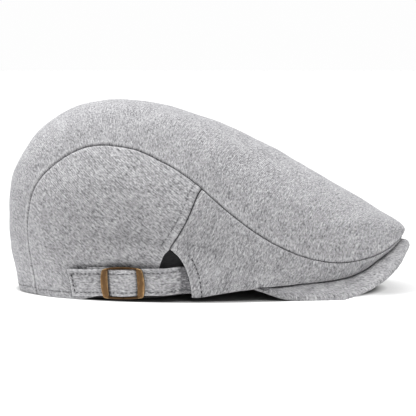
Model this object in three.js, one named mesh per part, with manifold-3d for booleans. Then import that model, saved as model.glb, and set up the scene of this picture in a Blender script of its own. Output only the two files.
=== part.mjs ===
// A soft flat cap standing on its rim: a crown of one long top panel and two side panels a side, a short
// arched peak under the crown's front, a sweatband inside the head opening, and an adjusting strap that
// crosses a small arch on the wearer's right and runs through a slide buckle.
// Millimetres. +X is forward, towards the peak, +Y is the wearer's left, +Z is up. The origin is the
// centre of the cap's plan, on the floor.
import * as THREE from "three";
import { mergeVertices } from "three/addons/utils/BufferGeometryUtils.js";
import Module from "manifold-3d";

const wasm = await Module();
wasm.setup();

// Overall sizes of the cap as it stands
const capLength = 280;
const crownHeight = 131.3;
const rimWidth = 165;

// Crown panels: outer cloth, padding and lining sewn as one wall
const wall = 2;
const seamGap = 0.5;
const bellyLean = 0.16;

// Peak
const brimThickness = 4.5;
const brimTipHeight = 28;
const brimPitch = 0.11;
const brimCurve = 1.75;
const brimLip = 8.5;
const brimEndThickness = 2.6;
const brimEndLift = 4.5;
const brimEndLength = 48;
const foreheadSetback = 65;

// Sweatband inside the head opening
const bandHeight = 34;
const bandThickness = 1;
const bandRecess = 1.5;

// Arch cut in the right side, between the rear and the front side panel
const archWidth = 25;
const archHeight = 34;

// Strap: its sewn end and the buckle stand at the X that is given
const strapWidth = 18;
const strapThickness = 1.4;
const strapEndX = -88.5;
const strapEndHeight = 12;
const strapRise = 2.4;
const strapTuck = 10;

// Slide buckle
const buckleX = -55.6;
const buckleLength = 29.6;
const buckleHeight = 21.8;
const buckleSideBar = 4.9;
const buckleRail = 1.5;
const buckleThickness = 1.6;
const buckleBow = 1.3;
const centreBarWidth = 3;
const centreBarThickness = 0.9;

// Clearance between pieces that lie on each other
const clearance = 0.3;

// Sections of the crown's right half from the back (first row) to the front, each running from the middle of
// the crown through the panel seam to the lower edge. x is a share of capLength, y of half of rimWidth, z of
// crownHeight. rise is the share of the peak's height that the lower edge has come up to, and lip is how far
// the peak stands out past that edge, as a share of brimLip.
const sections = [
  { midX: -0.4695, midZ: 0.0, seamX: -0.416, seamY: 0.521, seamZ: 0.0, edgeX: -0.416, edgeY: 0.521, rise: 0, lip: 0 },
  { midX: -0.4895, midZ: 0.209, seamX: -0.4315, seamY: 0.57, seamZ: 0.215, edgeX: -0.384, edgeY: 0.655, rise: 0, lip: 0 },
  { midX: -0.4965, midZ: 0.388, seamX: -0.434, seamY: 0.62, seamZ: 0.392, edgeX: -0.346, edgeY: 0.758, rise: 0, lip: 0 },
  { midX: -0.4915, midZ: 0.55, seamX: -0.421, seamY: 0.665, seamZ: 0.535, edgeX: -0.311, edgeY: 0.83, rise: 0, lip: 0 },
  { midX: -0.47, midZ: 0.69, seamX: -0.386, seamY: 0.7, seamZ: 0.651, edgeX: -0.273, edgeY: 0.888, rise: 0, lip: 0 },
  { midX: -0.419, midZ: 0.84, seamX: -0.326, seamY: 0.73, seamZ: 0.746, edgeX: -0.23, edgeY: 0.939, rise: 0, lip: 0 },
  { midX: -0.321, midZ: 0.967, seamX: -0.25, seamY: 0.76, seamZ: 0.782, edgeX: -0.179, edgeY: 0.976, rise: 0, lip: 0 },
  { midX: -0.196, midZ: 1.0, seamX: -0.166, seamY: 0.8, seamZ: 0.752, edgeX: -0.118, edgeY: 0.996, rise: 0.1, lip: 0 },
  { midX: -0.079, midZ: 0.953, seamX: -0.08, seamY: 0.86, seamZ: 0.665, edgeX: -0.054, edgeY: 0.999, rise: 0.32, lip: 0 },
  { midX: 0.032, midZ: 0.874, seamX: 0.004, seamY: 0.915, seamZ: 0.527, edgeX: 0.018, edgeY: 0.982, rise: 0.68, lip: -0.2 },
  { midX: 0.121, midZ: 0.7835, seamX: 0.08, seamY: 0.94, seamZ: 0.392, edgeX: 0.096, edgeY: 0.949, rise: 0.97, lip: -0.36 },
  { midX: 0.2, midZ: 0.6965, seamX: 0.152, seamY: 0.93, seamZ: 0.292, edgeX: 0.168, edgeY: 0.921, rise: 1, lip: 0.12 },
  { midX: 0.271, midZ: 0.6115, seamX: 0.22, seamY: 0.895, seamZ: 0.226, edgeX: 0.232, edgeY: 0.879, rise: 1, lip: 0.45 },
  { midX: 0.336, midZ: 0.532, seamX: 0.284, seamY: 0.846, seamZ: 0.191, edgeX: 0.293, edgeY: 0.821, rise: 1, lip: 0.8 },
  { midX: 0.389, midZ: 0.4635, seamX: 0.341, seamY: 0.775, seamZ: 0.188, edgeX: 0.346, edgeY: 0.755, rise: 1, lip: 1.05 },
  { midX: 0.429, midZ: 0.4065, seamX: 0.391, seamY: 0.65, seamZ: 0.204, edgeX: 0.391, edgeY: 0.66, rise: 1, lip: 1.05 },
  { midX: 0.46, midZ: 0.3715, seamX: 0.429, seamY: 0.505, seamZ: 0.228, edgeX: 0.429, edgeY: 0.53, rise: 1, lip: 0.85 },
  { midX: 0.483, midZ: 0.337, seamX: 0.46, seamY: 0.325, seamZ: 0.258, edgeX: 0.459, edgeY: 0.355, rise: 1, lip: 0.65 },
  { midX: 0.489, midZ: 0.307, seamX: 0.477, seamY: 0.162, seamZ: 0.276, edgeX: 0.475, edgeY: 0.175, rise: 1, lip: 0.6 },
  { midX: 0.482, midZ: 0.278, seamX: 0.482, seamY: 0.0, seamZ: 0.278, edgeX: 0.48, edgeY: 0.0, rise: 1, lip: 0.66 },
];
const front = sections.length - 1;
const temple = 10;
const seamFoot = 0.17;

// Rows of the table where the seam between the side panels meets the top seam, where it ends at the arch, and
// where the arch's middle stands on the rim. splitBend keeps that seam straight as it is seen from the side.
const splitTop = 8.75;
const archApex = 7.53;
const archMiddle = 7.5;
const splitBend = 1.17;

// A natural cubic spline through values that stand at 0, 1, 2 and so on
function splineThrough(values) {
  const last = values.length - 1;
  const bends = new Array(values.length).fill(0);
  const ratios = new Array(values.length).fill(0);
  for (let i = 1; i < last; i++) {
    const pivot = 4 - ratios[i - 1];
    ratios[i] = 1 / pivot;
    bends[i] = (6 * (values[i + 1] - 2 * values[i] + values[i - 1]) - bends[i - 1]) / pivot;
  }
  for (let i = last - 1; i > 0; i--) bends[i] -= ratios[i] * bends[i + 1];
  return (at) => {
    const i = Math.min(Math.max(Math.floor(at), 0), last - 1);
    const after = at - i;
    const before = 1 - after;
    return (
      before * values[i] + after * values[i + 1] +
      ((before ** 3 - before) * bends[i] + (after ** 3 - after) * bends[i + 1]) / 6
    );
  };
}

// One spline a column. Past the front row the seam and the edge go on to the cap's other half, so that they
// cross the middle square to it.
function column(name, otherHalf) {
  const values = sections.map((row) => row[name]);
  if (otherHalf) for (let i = front - 1; i > front - 4; i--) values.push(otherHalf * values[i]);
  return splineThrough(values);
}
const columns = {
  midX: column("midX", 0),
  midZ: column("midZ", 0),
  seamX: column("seamX", 1),
  seamY: column("seamY", -1),
  seamZ: column("seamZ", 1),
  edgeX: column("edgeX", 1),
  edgeY: column("edgeY", -1),
  rise: column("rise", 1),
  lip: column("lip", 1),
};

function edgePlan(at) {
  return new THREE.Vector2(columns.edgeX(at) * capLength, (-columns.edgeY(at) * rimWidth) / 2);
}

// Unit vector in plan that points out of the cap, square to its lower edge
function edgeOutward(at) {
  const step = 0.02;
  const along = edgePlan(at + step).sub(edgePlan(Math.max(at - step, 0))).normalize();
  return new THREE.Vector2(along.y, -along.x);
}

function brimOutline(at) {
  return edgePlan(at).addScaledVector(edgeOutward(at), columns.lip(at) * brimLip);
}

// The peak is a sheet arched over the X axis that rises a little towards the forehead, and thins out and
// lifts at its two rear ends. Its arch is as deep as lets its two sides just touch the floor.
const brimTipX = brimOutline(front).x;
const templeX = edgePlan(temple).x;
function brimEnd(x) {
  return THREE.MathUtils.clamp((templeX + brimEndLength - x) / brimEndLength, 0, 1.1);
}
function brimRidge(x) {
  return brimTipHeight + brimPitch * (brimTipX - x) + brimEndLift * brimEnd(x) ** 2;
}
const brimArch = (() => {
  let arch = Infinity;
  for (let at = temple; at < front - 1; at += 0.05) {
    const lowest = brimOutline(at).addScaledVector(edgeOutward(at), -brimThickness / 2);
    arch = Math.min(arch, brimRidge(lowest.x) / Math.abs(lowest.y) ** brimCurve);
  }
  return arch;
})();

function brimUnderside(x, y) {
  return brimRidge(x) - brimArch * Math.abs(y) ** brimCurve;
}

// The thickness is square to the sheet, so it is more than that straight up where the sheet is steep
function brimTop(x, y) {
  const slope = brimCurve * brimArch * Math.abs(y) ** (brimCurve - 1);
  const thickness = brimThickness + (brimEndThickness - brimThickness) * brimEnd(x);
  return brimUnderside(x, y) + thickness * Math.hypot(1, slope);
}

// Points and directions that shape one section of the crown's right half
function sectionAt(at) {
  const mid = new THREE.Vector3(columns.midX(at) * capLength, 0, columns.midZ(at) * crownHeight);
  const seam = new THREE.Vector3(
    columns.seamX(at) * capLength,
    (-columns.seamY(at) * rimWidth) / 2,
    columns.seamZ(at) * crownHeight,
  );
  const plan = edgePlan(at);
  const seat = brimTop(plan.x, plan.y) + clearance;
  const edge = new THREE.Vector3(plan.x, plan.y, Math.max(columns.rise(at), 0) * seat);
  const over = seam.clone().sub(mid);
  const down = edge.clone().sub(seam);
  const overLength = over.length();
  const downLength = down.length();
  const outward = edgeOutward(at);
  const rimward = new THREE.Vector3(-outward.y, outward.x, 0);
  // The surface crosses the seam between the two chords, and along the rim where the section is the rim
  const crossing = over.normalize().multiplyScalar(Math.pow(downLength, 0.4) + 1e-6);
  crossing.addScaledVector(down.normalize(), Math.pow(overLength, 0.4) + 1e-6).normalize();
  const early = THREE.MathUtils.smoothstep(at, 0, 1.2);
  crossing.lerp(rimward, 1 - early).normalize();
  return { mid, seam, edge, outward, crossing, overLength, downLength };
}

function bezier(a, b, c, d, share) {
  const rest = 1 - share;
  return new THREE.Vector3()
    .addScaledVector(a, rest ** 3)
    .addScaledVector(b, 3 * rest * rest * share)
    .addScaledVector(c, 3 * rest * share * share)
    .addScaledVector(d, share ** 3);
}

// A curve's point at a share of its length, from samples of the curve
function alongSamples(samples, share) {
  const lengths = [0];
  for (let i = 1; i < samples.length; i++) lengths.push(lengths[i - 1] + samples[i].distanceTo(samples[i - 1]));
  const wanted = share * lengths[lengths.length - 1];
  let i = 1;
  while (i < samples.length - 1 && lengths[i] < wanted) i++;
  const span = lengths[i] - lengths[i - 1];
  const after = span > 0 ? (wanted - lengths[i - 1]) / span : 0;
  return samples[i - 1].clone().lerp(samples[i], after);
}

const curveSteps = 28;
const steps = Array.from({ length: curveSteps + 1 }, (_, i) => i / curveSteps);

// Right half of the top panel at a section, from the middle (share 0) to the seam (share 1)
const topSpread = 0.6;
const topFall = 0.36;
function topSamples(at) {
  const { mid, seam, crossing, overLength } = sectionAt(at);
  const shoulder = mid.clone().add(new THREE.Vector3(0, topSpread * seam.y, 0));
  const drop = seam.clone().addScaledVector(crossing, -topFall * overLength);
  return steps.map((share) => bezier(mid, shoulder, drop, seam, share));
}

// Side of the crown at a section, from the lower edge (share 0) to the seam (share 1)
const sideFullness = 0.42;
function sideSamples(at) {
  const { seam, edge, outward, crossing, downLength } = sectionAt(at);
  const reach = sideFullness * downLength;
  const fall = THREE.MathUtils.smoothstep(at, temple - 2, temple + 2);
  const lean = THREE.MathUtils.lerp(bellyLean, 0, fall) * reach;
  const foot = edge.clone().add(new THREE.Vector3(outward.x * lean, outward.y * lean, reach));
  const haunch = seam.clone().addScaledVector(crossing, reach * THREE.MathUtils.lerp(1, 0.6, fall));
  return steps.map((share) => bezier(edge, foot, haunch, seam, share));
}

function sidePoint(at, share) {
  return alongSamples(sideSamples(at), share);
}

// Unit normal of the crown's surface along the panel seam, which the walls on both sides of it share
function seamNormal(at) {
  const before = sectionAt(Math.max(at - 0.02, 0));
  const after = sectionAt(at + 0.02);
  const along = after.seam.sub(before.seam);
  return sectionAt(at).crossing.clone().cross(along).normalize();
}

// Unit normals of a grid of points, out of the side that has its rows running down and its columns to the left
function gridNormals(grid) {
  const rows = grid.length;
  const across = grid[0].length;
  return grid.map((row, i) =>
    row.map((point, j) => {
      const before = grid[Math.max(i - 1, 0)];
      const after = grid[Math.min(i + 1, rows - 1)];
      const side = row[Math.min(j + 1, across - 1)].clone().sub(row[Math.max(j - 1, 0)]);
      const sum = new THREE.Vector3();
      for (const k of [Math.max(j - 1, 0), j, Math.min(j + 1, across - 1)])
        sum.add(side.clone().cross(after[k].clone().sub(before[k])));
      return sum.normalize();
    }),
  );
}

// A closed solid between two grids of points of the same size, the first on its outer side
function layeredSolid(outer, inner) {
  const rows = outer.length;
  const across = outer[0].length;
  const index = (layer, i, j) => (layer * rows + i) * across + j;
  const faces = [];
  const quad = (a, b, c, d) => faces.push(a, b, c, a, c, d);
  for (let i = 0; i < rows - 1; i++)
    for (let j = 0; j < across - 1; j++) {
      quad(index(0, i, j), index(0, i, j + 1), index(0, i + 1, j + 1), index(0, i + 1, j));
      quad(index(1, i, j), index(1, i + 1, j), index(1, i + 1, j + 1), index(1, i, j + 1));
    }
  for (let j = 0; j < across - 1; j++) {
    quad(index(0, 0, j + 1), index(0, 0, j), index(1, 0, j), index(1, 0, j + 1));
    quad(index(0, rows - 1, j), index(0, rows - 1, j + 1), index(1, rows - 1, j + 1), index(1, rows - 1, j));
  }
  for (let i = 0; i < rows - 1; i++) {
    quad(index(0, i, 0), index(0, i + 1, 0), index(1, i + 1, 0), index(1, i, 0));
    quad(index(0, i + 1, across - 1), index(0, i, across - 1), index(1, i, across - 1), index(1, i + 1, across - 1));
  }
  return closedGeometry([...outer.flat(), ...inner.flat()], faces);
}

// Geometry with points that coincide merged and the triangles that this flattens left out
function closedGeometry(points, faces) {
  const geometry = new THREE.BufferGeometry();
  geometry.setAttribute("position", new THREE.Float32BufferAttribute(points.flatMap((p) => [p.x, p.y, p.z]), 3));
  geometry.setIndex(faces);
  const merged = mergeVertices(geometry, 1e-3);
  const kept = [];
  const corners = merged.index.array;
  for (let i = 0; i < corners.length; i += 3) {
    const [a, b, c] = [corners[i], corners[i + 1], corners[i + 2]];
    if (a !== b && b !== c && c !== a) kept.push(a, b, c);
  }
  merged.setIndex(kept);
  return merged;
}

function toSolid(geometry) {
  return new wasm.Manifold(
    new wasm.Mesh({
      numProp: 3,
      vertProperties: geometry.attributes.position.array,
      triVerts: new Uint32Array(geometry.index.array),
    }),
  );
}

function fromSolid(solid) {
  const mesh = solid.getMesh();
  const geometry = new THREE.BufferGeometry();
  geometry.setAttribute("position", new THREE.BufferAttribute(mesh.vertProperties, 3));
  geometry.setIndex([...mesh.triVerts]);
  return geometry;
}

// The same grid on the cap's other half
function mirrored(grid) {
  return grid.map((row) => row.map((point) => new THREE.Vector3(point.x, -point.y, point.z)).reverse());
}

// The inner point of a wall's lower edge, level with what the wall stands on
function footPoint(point, normal, onPeak) {
  const flat = new THREE.Vector3(normal.x, normal.y, 0).setLength(wall);
  const inner = point.clone().sub(flat);
  if (onPeak) inner.z = Math.max(inner.z, brimTop(inner.x, inner.y) + clearance);
  return inner;
}

// Finish of each material
const heather = new THREE.MeshStandardMaterial({ color: 0xacabaf, roughness: 0.95, metalness: 0 });
const charcoal = new THREE.MeshStandardMaterial({ color: 0x222225, roughness: 0.85, metalness: 0 });
const brass = new THREE.MeshStandardMaterial({ color: 0x8c6b40, roughness: 0.38, metalness: 1 });

const cap = new THREE.Group();
function addPiece(name, geometry, material) {
  const mesh = new THREE.Mesh(geometry, material);
  mesh.name = name;
  cap.add(mesh);
}

// Top panel, from the rim at the back over the crown to the nose. Its rows run from the left seam to the right.
const topRows = 40;
const topHalf = 8;
function topPanel() {
  const rows = Array.from({ length: topRows + 1 }, (_, i) => (front * i) / topRows);
  const grid = rows.map((at) => {
    const samples = topSamples(at);
    const inset = 1 - Math.min(seamGap / 2 / Math.max(sectionAt(at).overLength, seamGap), 0.5);
    const half = [];
    for (let j = 0; j <= topHalf; j++) half.push(alongSamples(samples, (inset * j) / topHalf));
    const left = half.slice(1).map((point) => new THREE.Vector3(point.x, -point.y, point.z));
    return [...left.reverse(), ...half];
  });
  for (const point of grid[topRows]) point.z += seamGap / 2;
  const normals = gridNormals(grid);
  const inner = grid.map((row, i) =>
    row.map((point, j) => {
      if (i === 0) return footPoint(point, normals[i][j], false);
      let normal = normals[i][j];
      if (j === 0 || j === 2 * topHalf) {
        normal = seamNormal(rows[i]);
        if (j === 0) normal.y = -normal.y;
      }
      return point.clone().addScaledVector(normal, -wall);
    }),
  );
  addPiece("top_panel", layeredSolid(grid, inner), heather);
}

// Share of the side's height at which the arch ends, and half its width in rows of the table
const archShare = (() => {
  const samples = sideSamples(archApex);
  let length = 0;
  for (let i = 1; i < samples.length; i++) length += samples[i].distanceTo(samples[i - 1]);
  return archHeight / length;
})();
const rowPitch = edgePlan(archMiddle + 0.5).distanceTo(edgePlan(archMiddle - 0.5));
const archHalf = archWidth / 2 / rowPitch;

// Row of the table where the side panels meet, at a share of the side's height
function splitAt(share) {
  const up = (share - archShare) / (1 - archShare);
  return THREE.MathUtils.lerp(archApex, splitTop, up) + splitBend * up * (1 - up) ** 1.5;
}
function rearEdge(share, arched) {
  const foot = archMiddle - archHalf;
  if (arched && share < archShare) return foot + (archApex - foot) * Math.pow(share / archShare, 1.8);
  return arched || share > archShare ? splitAt(share) : archApex;
}
function frontEdge(share, arched) {
  const foot = archMiddle + archHalf;
  if (arched && share < archShare) return foot + (archApex - foot) * Math.pow(share / archShare, 2.6);
  return arched || share > archShare ? splitAt(share) : archApex;
}

// One side panel between two edges. Its rows run from the seam down to the lower edge, and its columns
// forward.
const sideShares = [0, 0.09, 0.18, 0.27, 0.36, 0.47, 0.58, 0.69, 0.79, 0.87, 0.94, 1];
function sidePanel(name, startAt, endAt, columnCount, side) {
  const rows = [];
  const outer = [];
  for (let i = 0; i <= columnCount; i++) {
    const column = sideShares.map((share) => {
      const at = THREE.MathUtils.lerp(startAt(share), endAt(share), i / columnCount);
      const inset = Math.min(seamGap / 2 / sectionAt(at).downLength, 0.4);
      return { at, point: sidePoint(at, share * (1 - inset)) };
    });
    rows.push(column.map((entry) => entry.at).reverse());
    outer.push(column.map((entry) => entry.point).reverse());
  }
  const normals = gridNormals(outer);
  const foot = sideShares.length - 1;
  const inner = outer.map((row, i) =>
    row.map((point, j) => {
      const at = rows[i][j];
      if (j === foot) return footPoint(point, normals[i][j], at > temple && columns.lip(at) * brimLip > -wall - clearance);
      const normal = j === 0 ? seamNormal(rows[i][0]) : normals[i][j];
      return point.clone().addScaledVector(normal, -wall);
    }),
  );
  const solid = side === "right" ? layeredSolid(outer, inner) : layeredSolid(mirrored(outer), mirrored(inner));
  addPiece(`${name}_${side}`, solid, heather);
}

topPanel();
const splitInset = seamGap / 2 / rowPitch;
for (const [side, arched] of [["right", true], ["left", false]]) {
  sidePanel("rear_panel", () => seamFoot, (share) => rearEdge(share, arched) - splitInset, 16, side);
  sidePanel("front_panel", (share) => frontEdge(share, arched) + splitInset, () => front - 0.02, 24, side);
}

// Plan of the rim on the right half. Rows below 0 run along the top panel's own foot, from the back middle.
function rimPlan(at) {
  if (at >= 0) return edgePlan(at);
  const point = alongSamples(topSamples(0), 1 + at);
  return new THREE.Vector2(point.x, point.y);
}
function insetPlan(at, inset) {
  const step = 0.04;
  const along = rimPlan(at + step).sub(rimPlan(Math.max(at - step, -1))).normalize();
  if (at <= -1) along.set(0, -1);
  return rimPlan(at).addScaledVector(new THREE.Vector2(along.y, -along.x), -inset);
}

// Plan of the sweatband's outer face, on the right half: inside the walls as far as the temple, with room for
// the strap's tucked end, and then round the forehead as a quarter of an oval
const bandInset = wall + strapThickness + 2 * clearance;
const foreheadX = columns.edgeX(front) * capLength - foreheadSetback;
function bandPlan(at, inset) {
  if (at <= temple) return insetPlan(at, inset);
  const from = insetPlan(temple, inset);
  const angle = (((at - temple) / (front - temple)) * Math.PI) / 2;
  const endX = foreheadX - (inset - bandInset);
  return new THREE.Vector2(from.x + (endX - from.x) * Math.sin(angle), from.y * Math.cos(angle));
}

// Sweatband, a closed loop that rises over the peak at the front. Its columns run from the back middle round
// the right side to the front middle, and on round the left side.
function sweatband() {
  const count = 38;
  const rightHalf = Array.from({ length: count + 1 }, (_, i) => -1 + ((front + 1) * i) / count);
  const faces = [];
  const points = [];
  const loop = [...rightHalf.map((at) => [at, 1]), ...rightHalf.slice(1, -1).reverse().map((at) => [at, -1])];
  for (const [at, mirror] of loop) {
    const outer = bandPlan(at, bandInset);
    const inner = bandPlan(at, bandInset + bandThickness);
    const onPeak = at > 0 ? Math.min(Math.max(columns.rise(at), 0), 1) : 0;
    const foot = bandRecess + onPeak * Math.max(brimUnderside(outer.x, outer.y), 0);
    for (const plan of [outer, inner])
      for (const z of [foot, foot + bandHeight]) points.push(new THREE.Vector3(plan.x, mirror * plan.y, z));
  }
  const around = loop.length;
  const index = (i, corner) => (i % around) * 4 + corner;
  const quad = (a, b, c, d) => faces.push(a, b, c, a, c, d);
  for (let i = 0; i < around; i++) {
    quad(index(i, 0), index(i + 1, 0), index(i + 1, 1), index(i, 1));
    quad(index(i, 2), index(i, 3), index(i + 1, 3), index(i + 1, 2));
    quad(index(i, 1), index(i + 1, 1), index(i + 1, 3), index(i, 3));
    quad(index(i, 0), index(i, 2), index(i + 1, 2), index(i + 1, 0));
  }
  addPiece("sweatband", closedGeometry(points, faces), charcoal);
}

// Peak, a curved sheet with a rounded outer edge. Its rows run from the inner edge, which stands against the
// sweatband, over the top and round the outer edge.
function brim() {
  const columnsAcross = 56;
  const upper = [];
  const lower = [];
  for (let i = 0; i <= columnsAcross; i++) {
    const turn = (2 * i) / columnsAcross - 1;
    const at = temple + (front - temple) * (1 - Math.abs(turn));
    const mirror = turn < 0 ? 1 : -1;
    const inner = bandPlan(at, bandInset - clearance);
    const outer = brimOutline(at);
    const away = outer.clone().sub(inner);
    const round = Math.min(brimThickness / 2 / away.length(), 0.4);
    const place = (share, lift) => {
      const plan = inner.clone().addScaledVector(away, share);
      const z = THREE.MathUtils.lerp(brimUnderside(plan.x, plan.y), brimTop(plan.x, plan.y), lift);
      return new THREE.Vector3(plan.x, mirror * plan.y, Math.max(z, 0));
    };
    const reach = 1 - round;
    const bulge = (share) => reach + round * share;
    upper.push([
      place(0, 1), place(0.34 * reach, 1), place(0.68 * reach, 1), place(reach, 1), place(bulge(0.7), 0.86), place(1, 0.5),
    ]);
    lower.push([
      place(0, 0), place(0.34 * reach, 0), place(0.68 * reach, 0), place(reach, 0), place(bulge(0.7), 0.14), place(1, 0.5),
    ]);
  }
  addPiece("brim", layeredSolid(upper, lower), heather);
}

// The side's outer surface at a height, with its unit normal
function surfaceAt(at, z) {
  const samples = sideSamples(at);
  let i = 1;
  while (i < samples.length - 1 && samples[i].z < z) i++;
  const span = samples[i].z - samples[i - 1].z;
  return samples[i - 1].clone().lerp(samples[i], span > 0 ? (z - samples[i - 1].z) / span : 0);
}
function surfaceNormal(at, z) {
  const along = surfaceAt(at + 0.05, z).sub(surfaceAt(at - 0.05, z));
  const up = surfaceAt(at, z + 1).sub(surfaceAt(at, z - 1));
  return along.cross(up).normalize();
}
function rowAtX(x) {
  let low = 0;
  let high = front;
  for (let i = 0; i < 40; i++) {
    const middle = (low + high) / 2;
    if (columns.edgeX(middle) * capLength < x) low = middle;
    else high = middle;
  }
  return low;
}

// Strap: sewn end, the buckle, the way across the arch, and the end tucked inside the front side panel
const strapStart = rowAtX(strapEndX);
const archFront = archMiddle + archHalf;
const strapEnd = archFront + strapTuck / rowPitch;
function strapMiddle(at) {
  return strapEndHeight + (strapRise * (at - strapStart)) / (strapEnd - strapStart);
}

// Frame of the buckle: u runs forward along the strap, v up and w out of the cap
const buckleRow = rowAtX(buckleX);
const buckleFrame = (() => {
  const z = strapMiddle(buckleRow);
  const centre = surfaceAt(buckleRow, z);
  const w = surfaceNormal(buckleRow, z);
  const ahead = surfaceAt(buckleRow + 0.3, strapMiddle(buckleRow + 0.3));
  const u = ahead.sub(centre);
  u.addScaledVector(w, -u.dot(w)).normalize();
  const v = w.clone().cross(u);
  return { centre, u, v, w };
})();
// The strap lies on the panel under the side bars and goes over the centre bar between them
const centreBarBack = clearance;
const strapOverBar = centreBarBack + centreBarThickness + clearance;
const windowHalf = buckleLength / 2 - buckleSideBar;

// Rows of the table between which the strap passes from the outside of the rear panel to the inside of the
// front one: where the arch is as wide as it is at the strap's upper edge
const strapTopShare = (archShare * (strapEndHeight + strapRise + strapWidth / 2)) / archHeight;
const tuckFrom = rearEdge(strapTopShare, true) + 0.03;
const tuckTo = frontEdge(strapTopShare, true) - 0.06;

function strapOffset(at, point) {
  const along = Math.abs(point.clone().sub(buckleFrame.centre).dot(buckleFrame.u));
  const over = 1 - THREE.MathUtils.smoothstep(along, centreBarWidth / 2 + 0.8, windowHalf - 1.3);
  const tuck = THREE.MathUtils.smoothstep(at, tuckFrom, tuckTo);
  const onPanel = clearance + (strapOverBar - clearance) * over;
  return THREE.MathUtils.lerp(onPanel, -wall - clearance - strapThickness, tuck);
}

function strapGrids() {
  const count = 48;
  const across = 4;
  const outer = [];
  const inner = [];
  for (let i = 0; i <= count; i++) {
    const at = strapStart + ((strapEnd - strapStart) * i) / count;
    const outerColumn = [];
    const innerColumn = [];
    for (let j = 0; j <= across; j++) {
      const z = strapMiddle(at) + strapWidth * (0.5 - j / across);
      const point = surfaceAt(at, z);
      const normal = surfaceNormal(at, z);
      const offset = strapOffset(at, point);
      innerColumn.push(point.clone().addScaledVector(normal, offset));
      outerColumn.push(point.clone().addScaledVector(normal, offset + strapThickness));
    }
    outer.push(outerColumn);
    inner.push(innerColumn);
  }
  return { outer, inner };
}
const strapFaces = strapGrids();
// The frame stands clear of the strap where the side bars cross it
const buckleBack = (() => {
  let highest = 0;
  for (const point of strapFaces.outer.flat()) {
    const offset = point.clone().sub(buckleFrame.centre);
    const along = Math.abs(offset.dot(buckleFrame.u));
    if (along > windowHalf - 1 && along < buckleLength / 2) highest = Math.max(highest, offset.dot(buckleFrame.w));
  }
  return highest + clearance;
})();

// Buckle: a bevelled frame whose sides bow out, with a centre bar that is let into the back of its rails
function buckle() {
  const corners = 40;
  const outline = (halfLength, halfHeight, corner, bow) => {
    const ring = [];
    for (let i = 0; i < corners; i++) {
      const angle = (2 * Math.PI * (i + 0.5)) / corners;
      const c = Math.cos(angle);
      const s = Math.sin(angle);
      const power = 2 / corner;
      const u = halfLength * Math.sign(c) * Math.pow(Math.abs(c), power);
      const v = halfHeight * Math.sign(s) * Math.pow(Math.abs(s), power);
      ring.push([u + Math.sign(u) * bow * (1 - (v / halfHeight) ** 2) - Math.sign(u) * bow, v]);
    }
    return ring;
  };
  const halfU = buckleLength / 2;
  const halfV = buckleHeight / 2;
  const bevel = buckleThickness * 0.35;
  const openU = halfU - buckleSideBar;
  const openV = halfV - buckleRail;
  const profile = [
    [outline(halfU, halfV, 7, buckleBow), 0],
    [outline(halfU, halfV, 7, buckleBow), buckleThickness - bevel],
    [outline(halfU - bevel, halfV - bevel, 7, buckleBow), buckleThickness],
    [outline(openU + bevel, openV + bevel / 2, 8, 0.3), buckleThickness],
    [outline(openU, openV, 8, 0.3), buckleThickness - bevel],
    [outline(openU, openV, 8, 0.3), 0],
  ];
  const { centre, u, v, w } = buckleFrame;
  const place = (a, b, c) =>
    centre.clone().addScaledVector(u, a).addScaledVector(v, b).addScaledVector(w, buckleBack + c);
  const points = profile.flatMap(([ring, height]) => ring.map(([a, b]) => place(a, b, height)));
  const faces = [];
  const index = (ring, i) => (ring % profile.length) * corners + (i % corners);
  for (let ring = 0; ring < profile.length; ring++)
    for (let i = 0; i < corners; i++) {
      faces.push(index(ring, i), index(ring, i + 1), index(ring + 1, i + 1));
      faces.push(index(ring, i), index(ring + 1, i + 1), index(ring + 1, i));
    }
  const ring = toSolid(closedGeometry(points, faces));

  const block = (length, height, depth, middleV, back) => {
    const geometry = new THREE.BoxGeometry(length, height, depth);
    const basis = new THREE.Matrix4().makeBasis(u, v, w);
    basis.setPosition(place(0, middleV, back - buckleBack + depth / 2));
    return toSolid(closedGeometry(
      Array.from({ length: geometry.attributes.position.count }, (_, i) =>
        new THREE.Vector3().fromBufferAttribute(geometry.attributes.position, i).applyMatrix4(basis)),
      [...geometry.index.array],
    ));
  };
  const bar = block(centreBarWidth, buckleHeight - buckleRail, centreBarThickness, 0, centreBarBack);
  const footDepth = buckleBack - centreBarBack + buckleThickness * 0.4;
  const footHeight = buckleRail * 0.6;
  const footV = halfV - buckleRail / 2;
  const feet = [-1, 1].map((end) => block(centreBarWidth, footHeight, footDepth, end * footV, centreBarBack));
  const joined = wasm.Manifold.union([ring, bar, ...feet]);
  addPiece("buckle", fromSolid(joined), brass);
}

sweatband();
brim();
addPiece("strap", layeredSolid(strapFaces.outer, strapFaces.inner), heather);
buckle();

export default cap;
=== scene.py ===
# Looks of the soft flat cap: the crown's panels as sewn cloth, the peak, the lining, the sweatband, the strap
# with its stitching and the slide buckle. Shapes are worked out in millimetres, in the part's own frame, and
# turned into metres where a mesh is made. +X is towards the peak, +Y is the wearer's left, +Z is up.
import math

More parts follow.
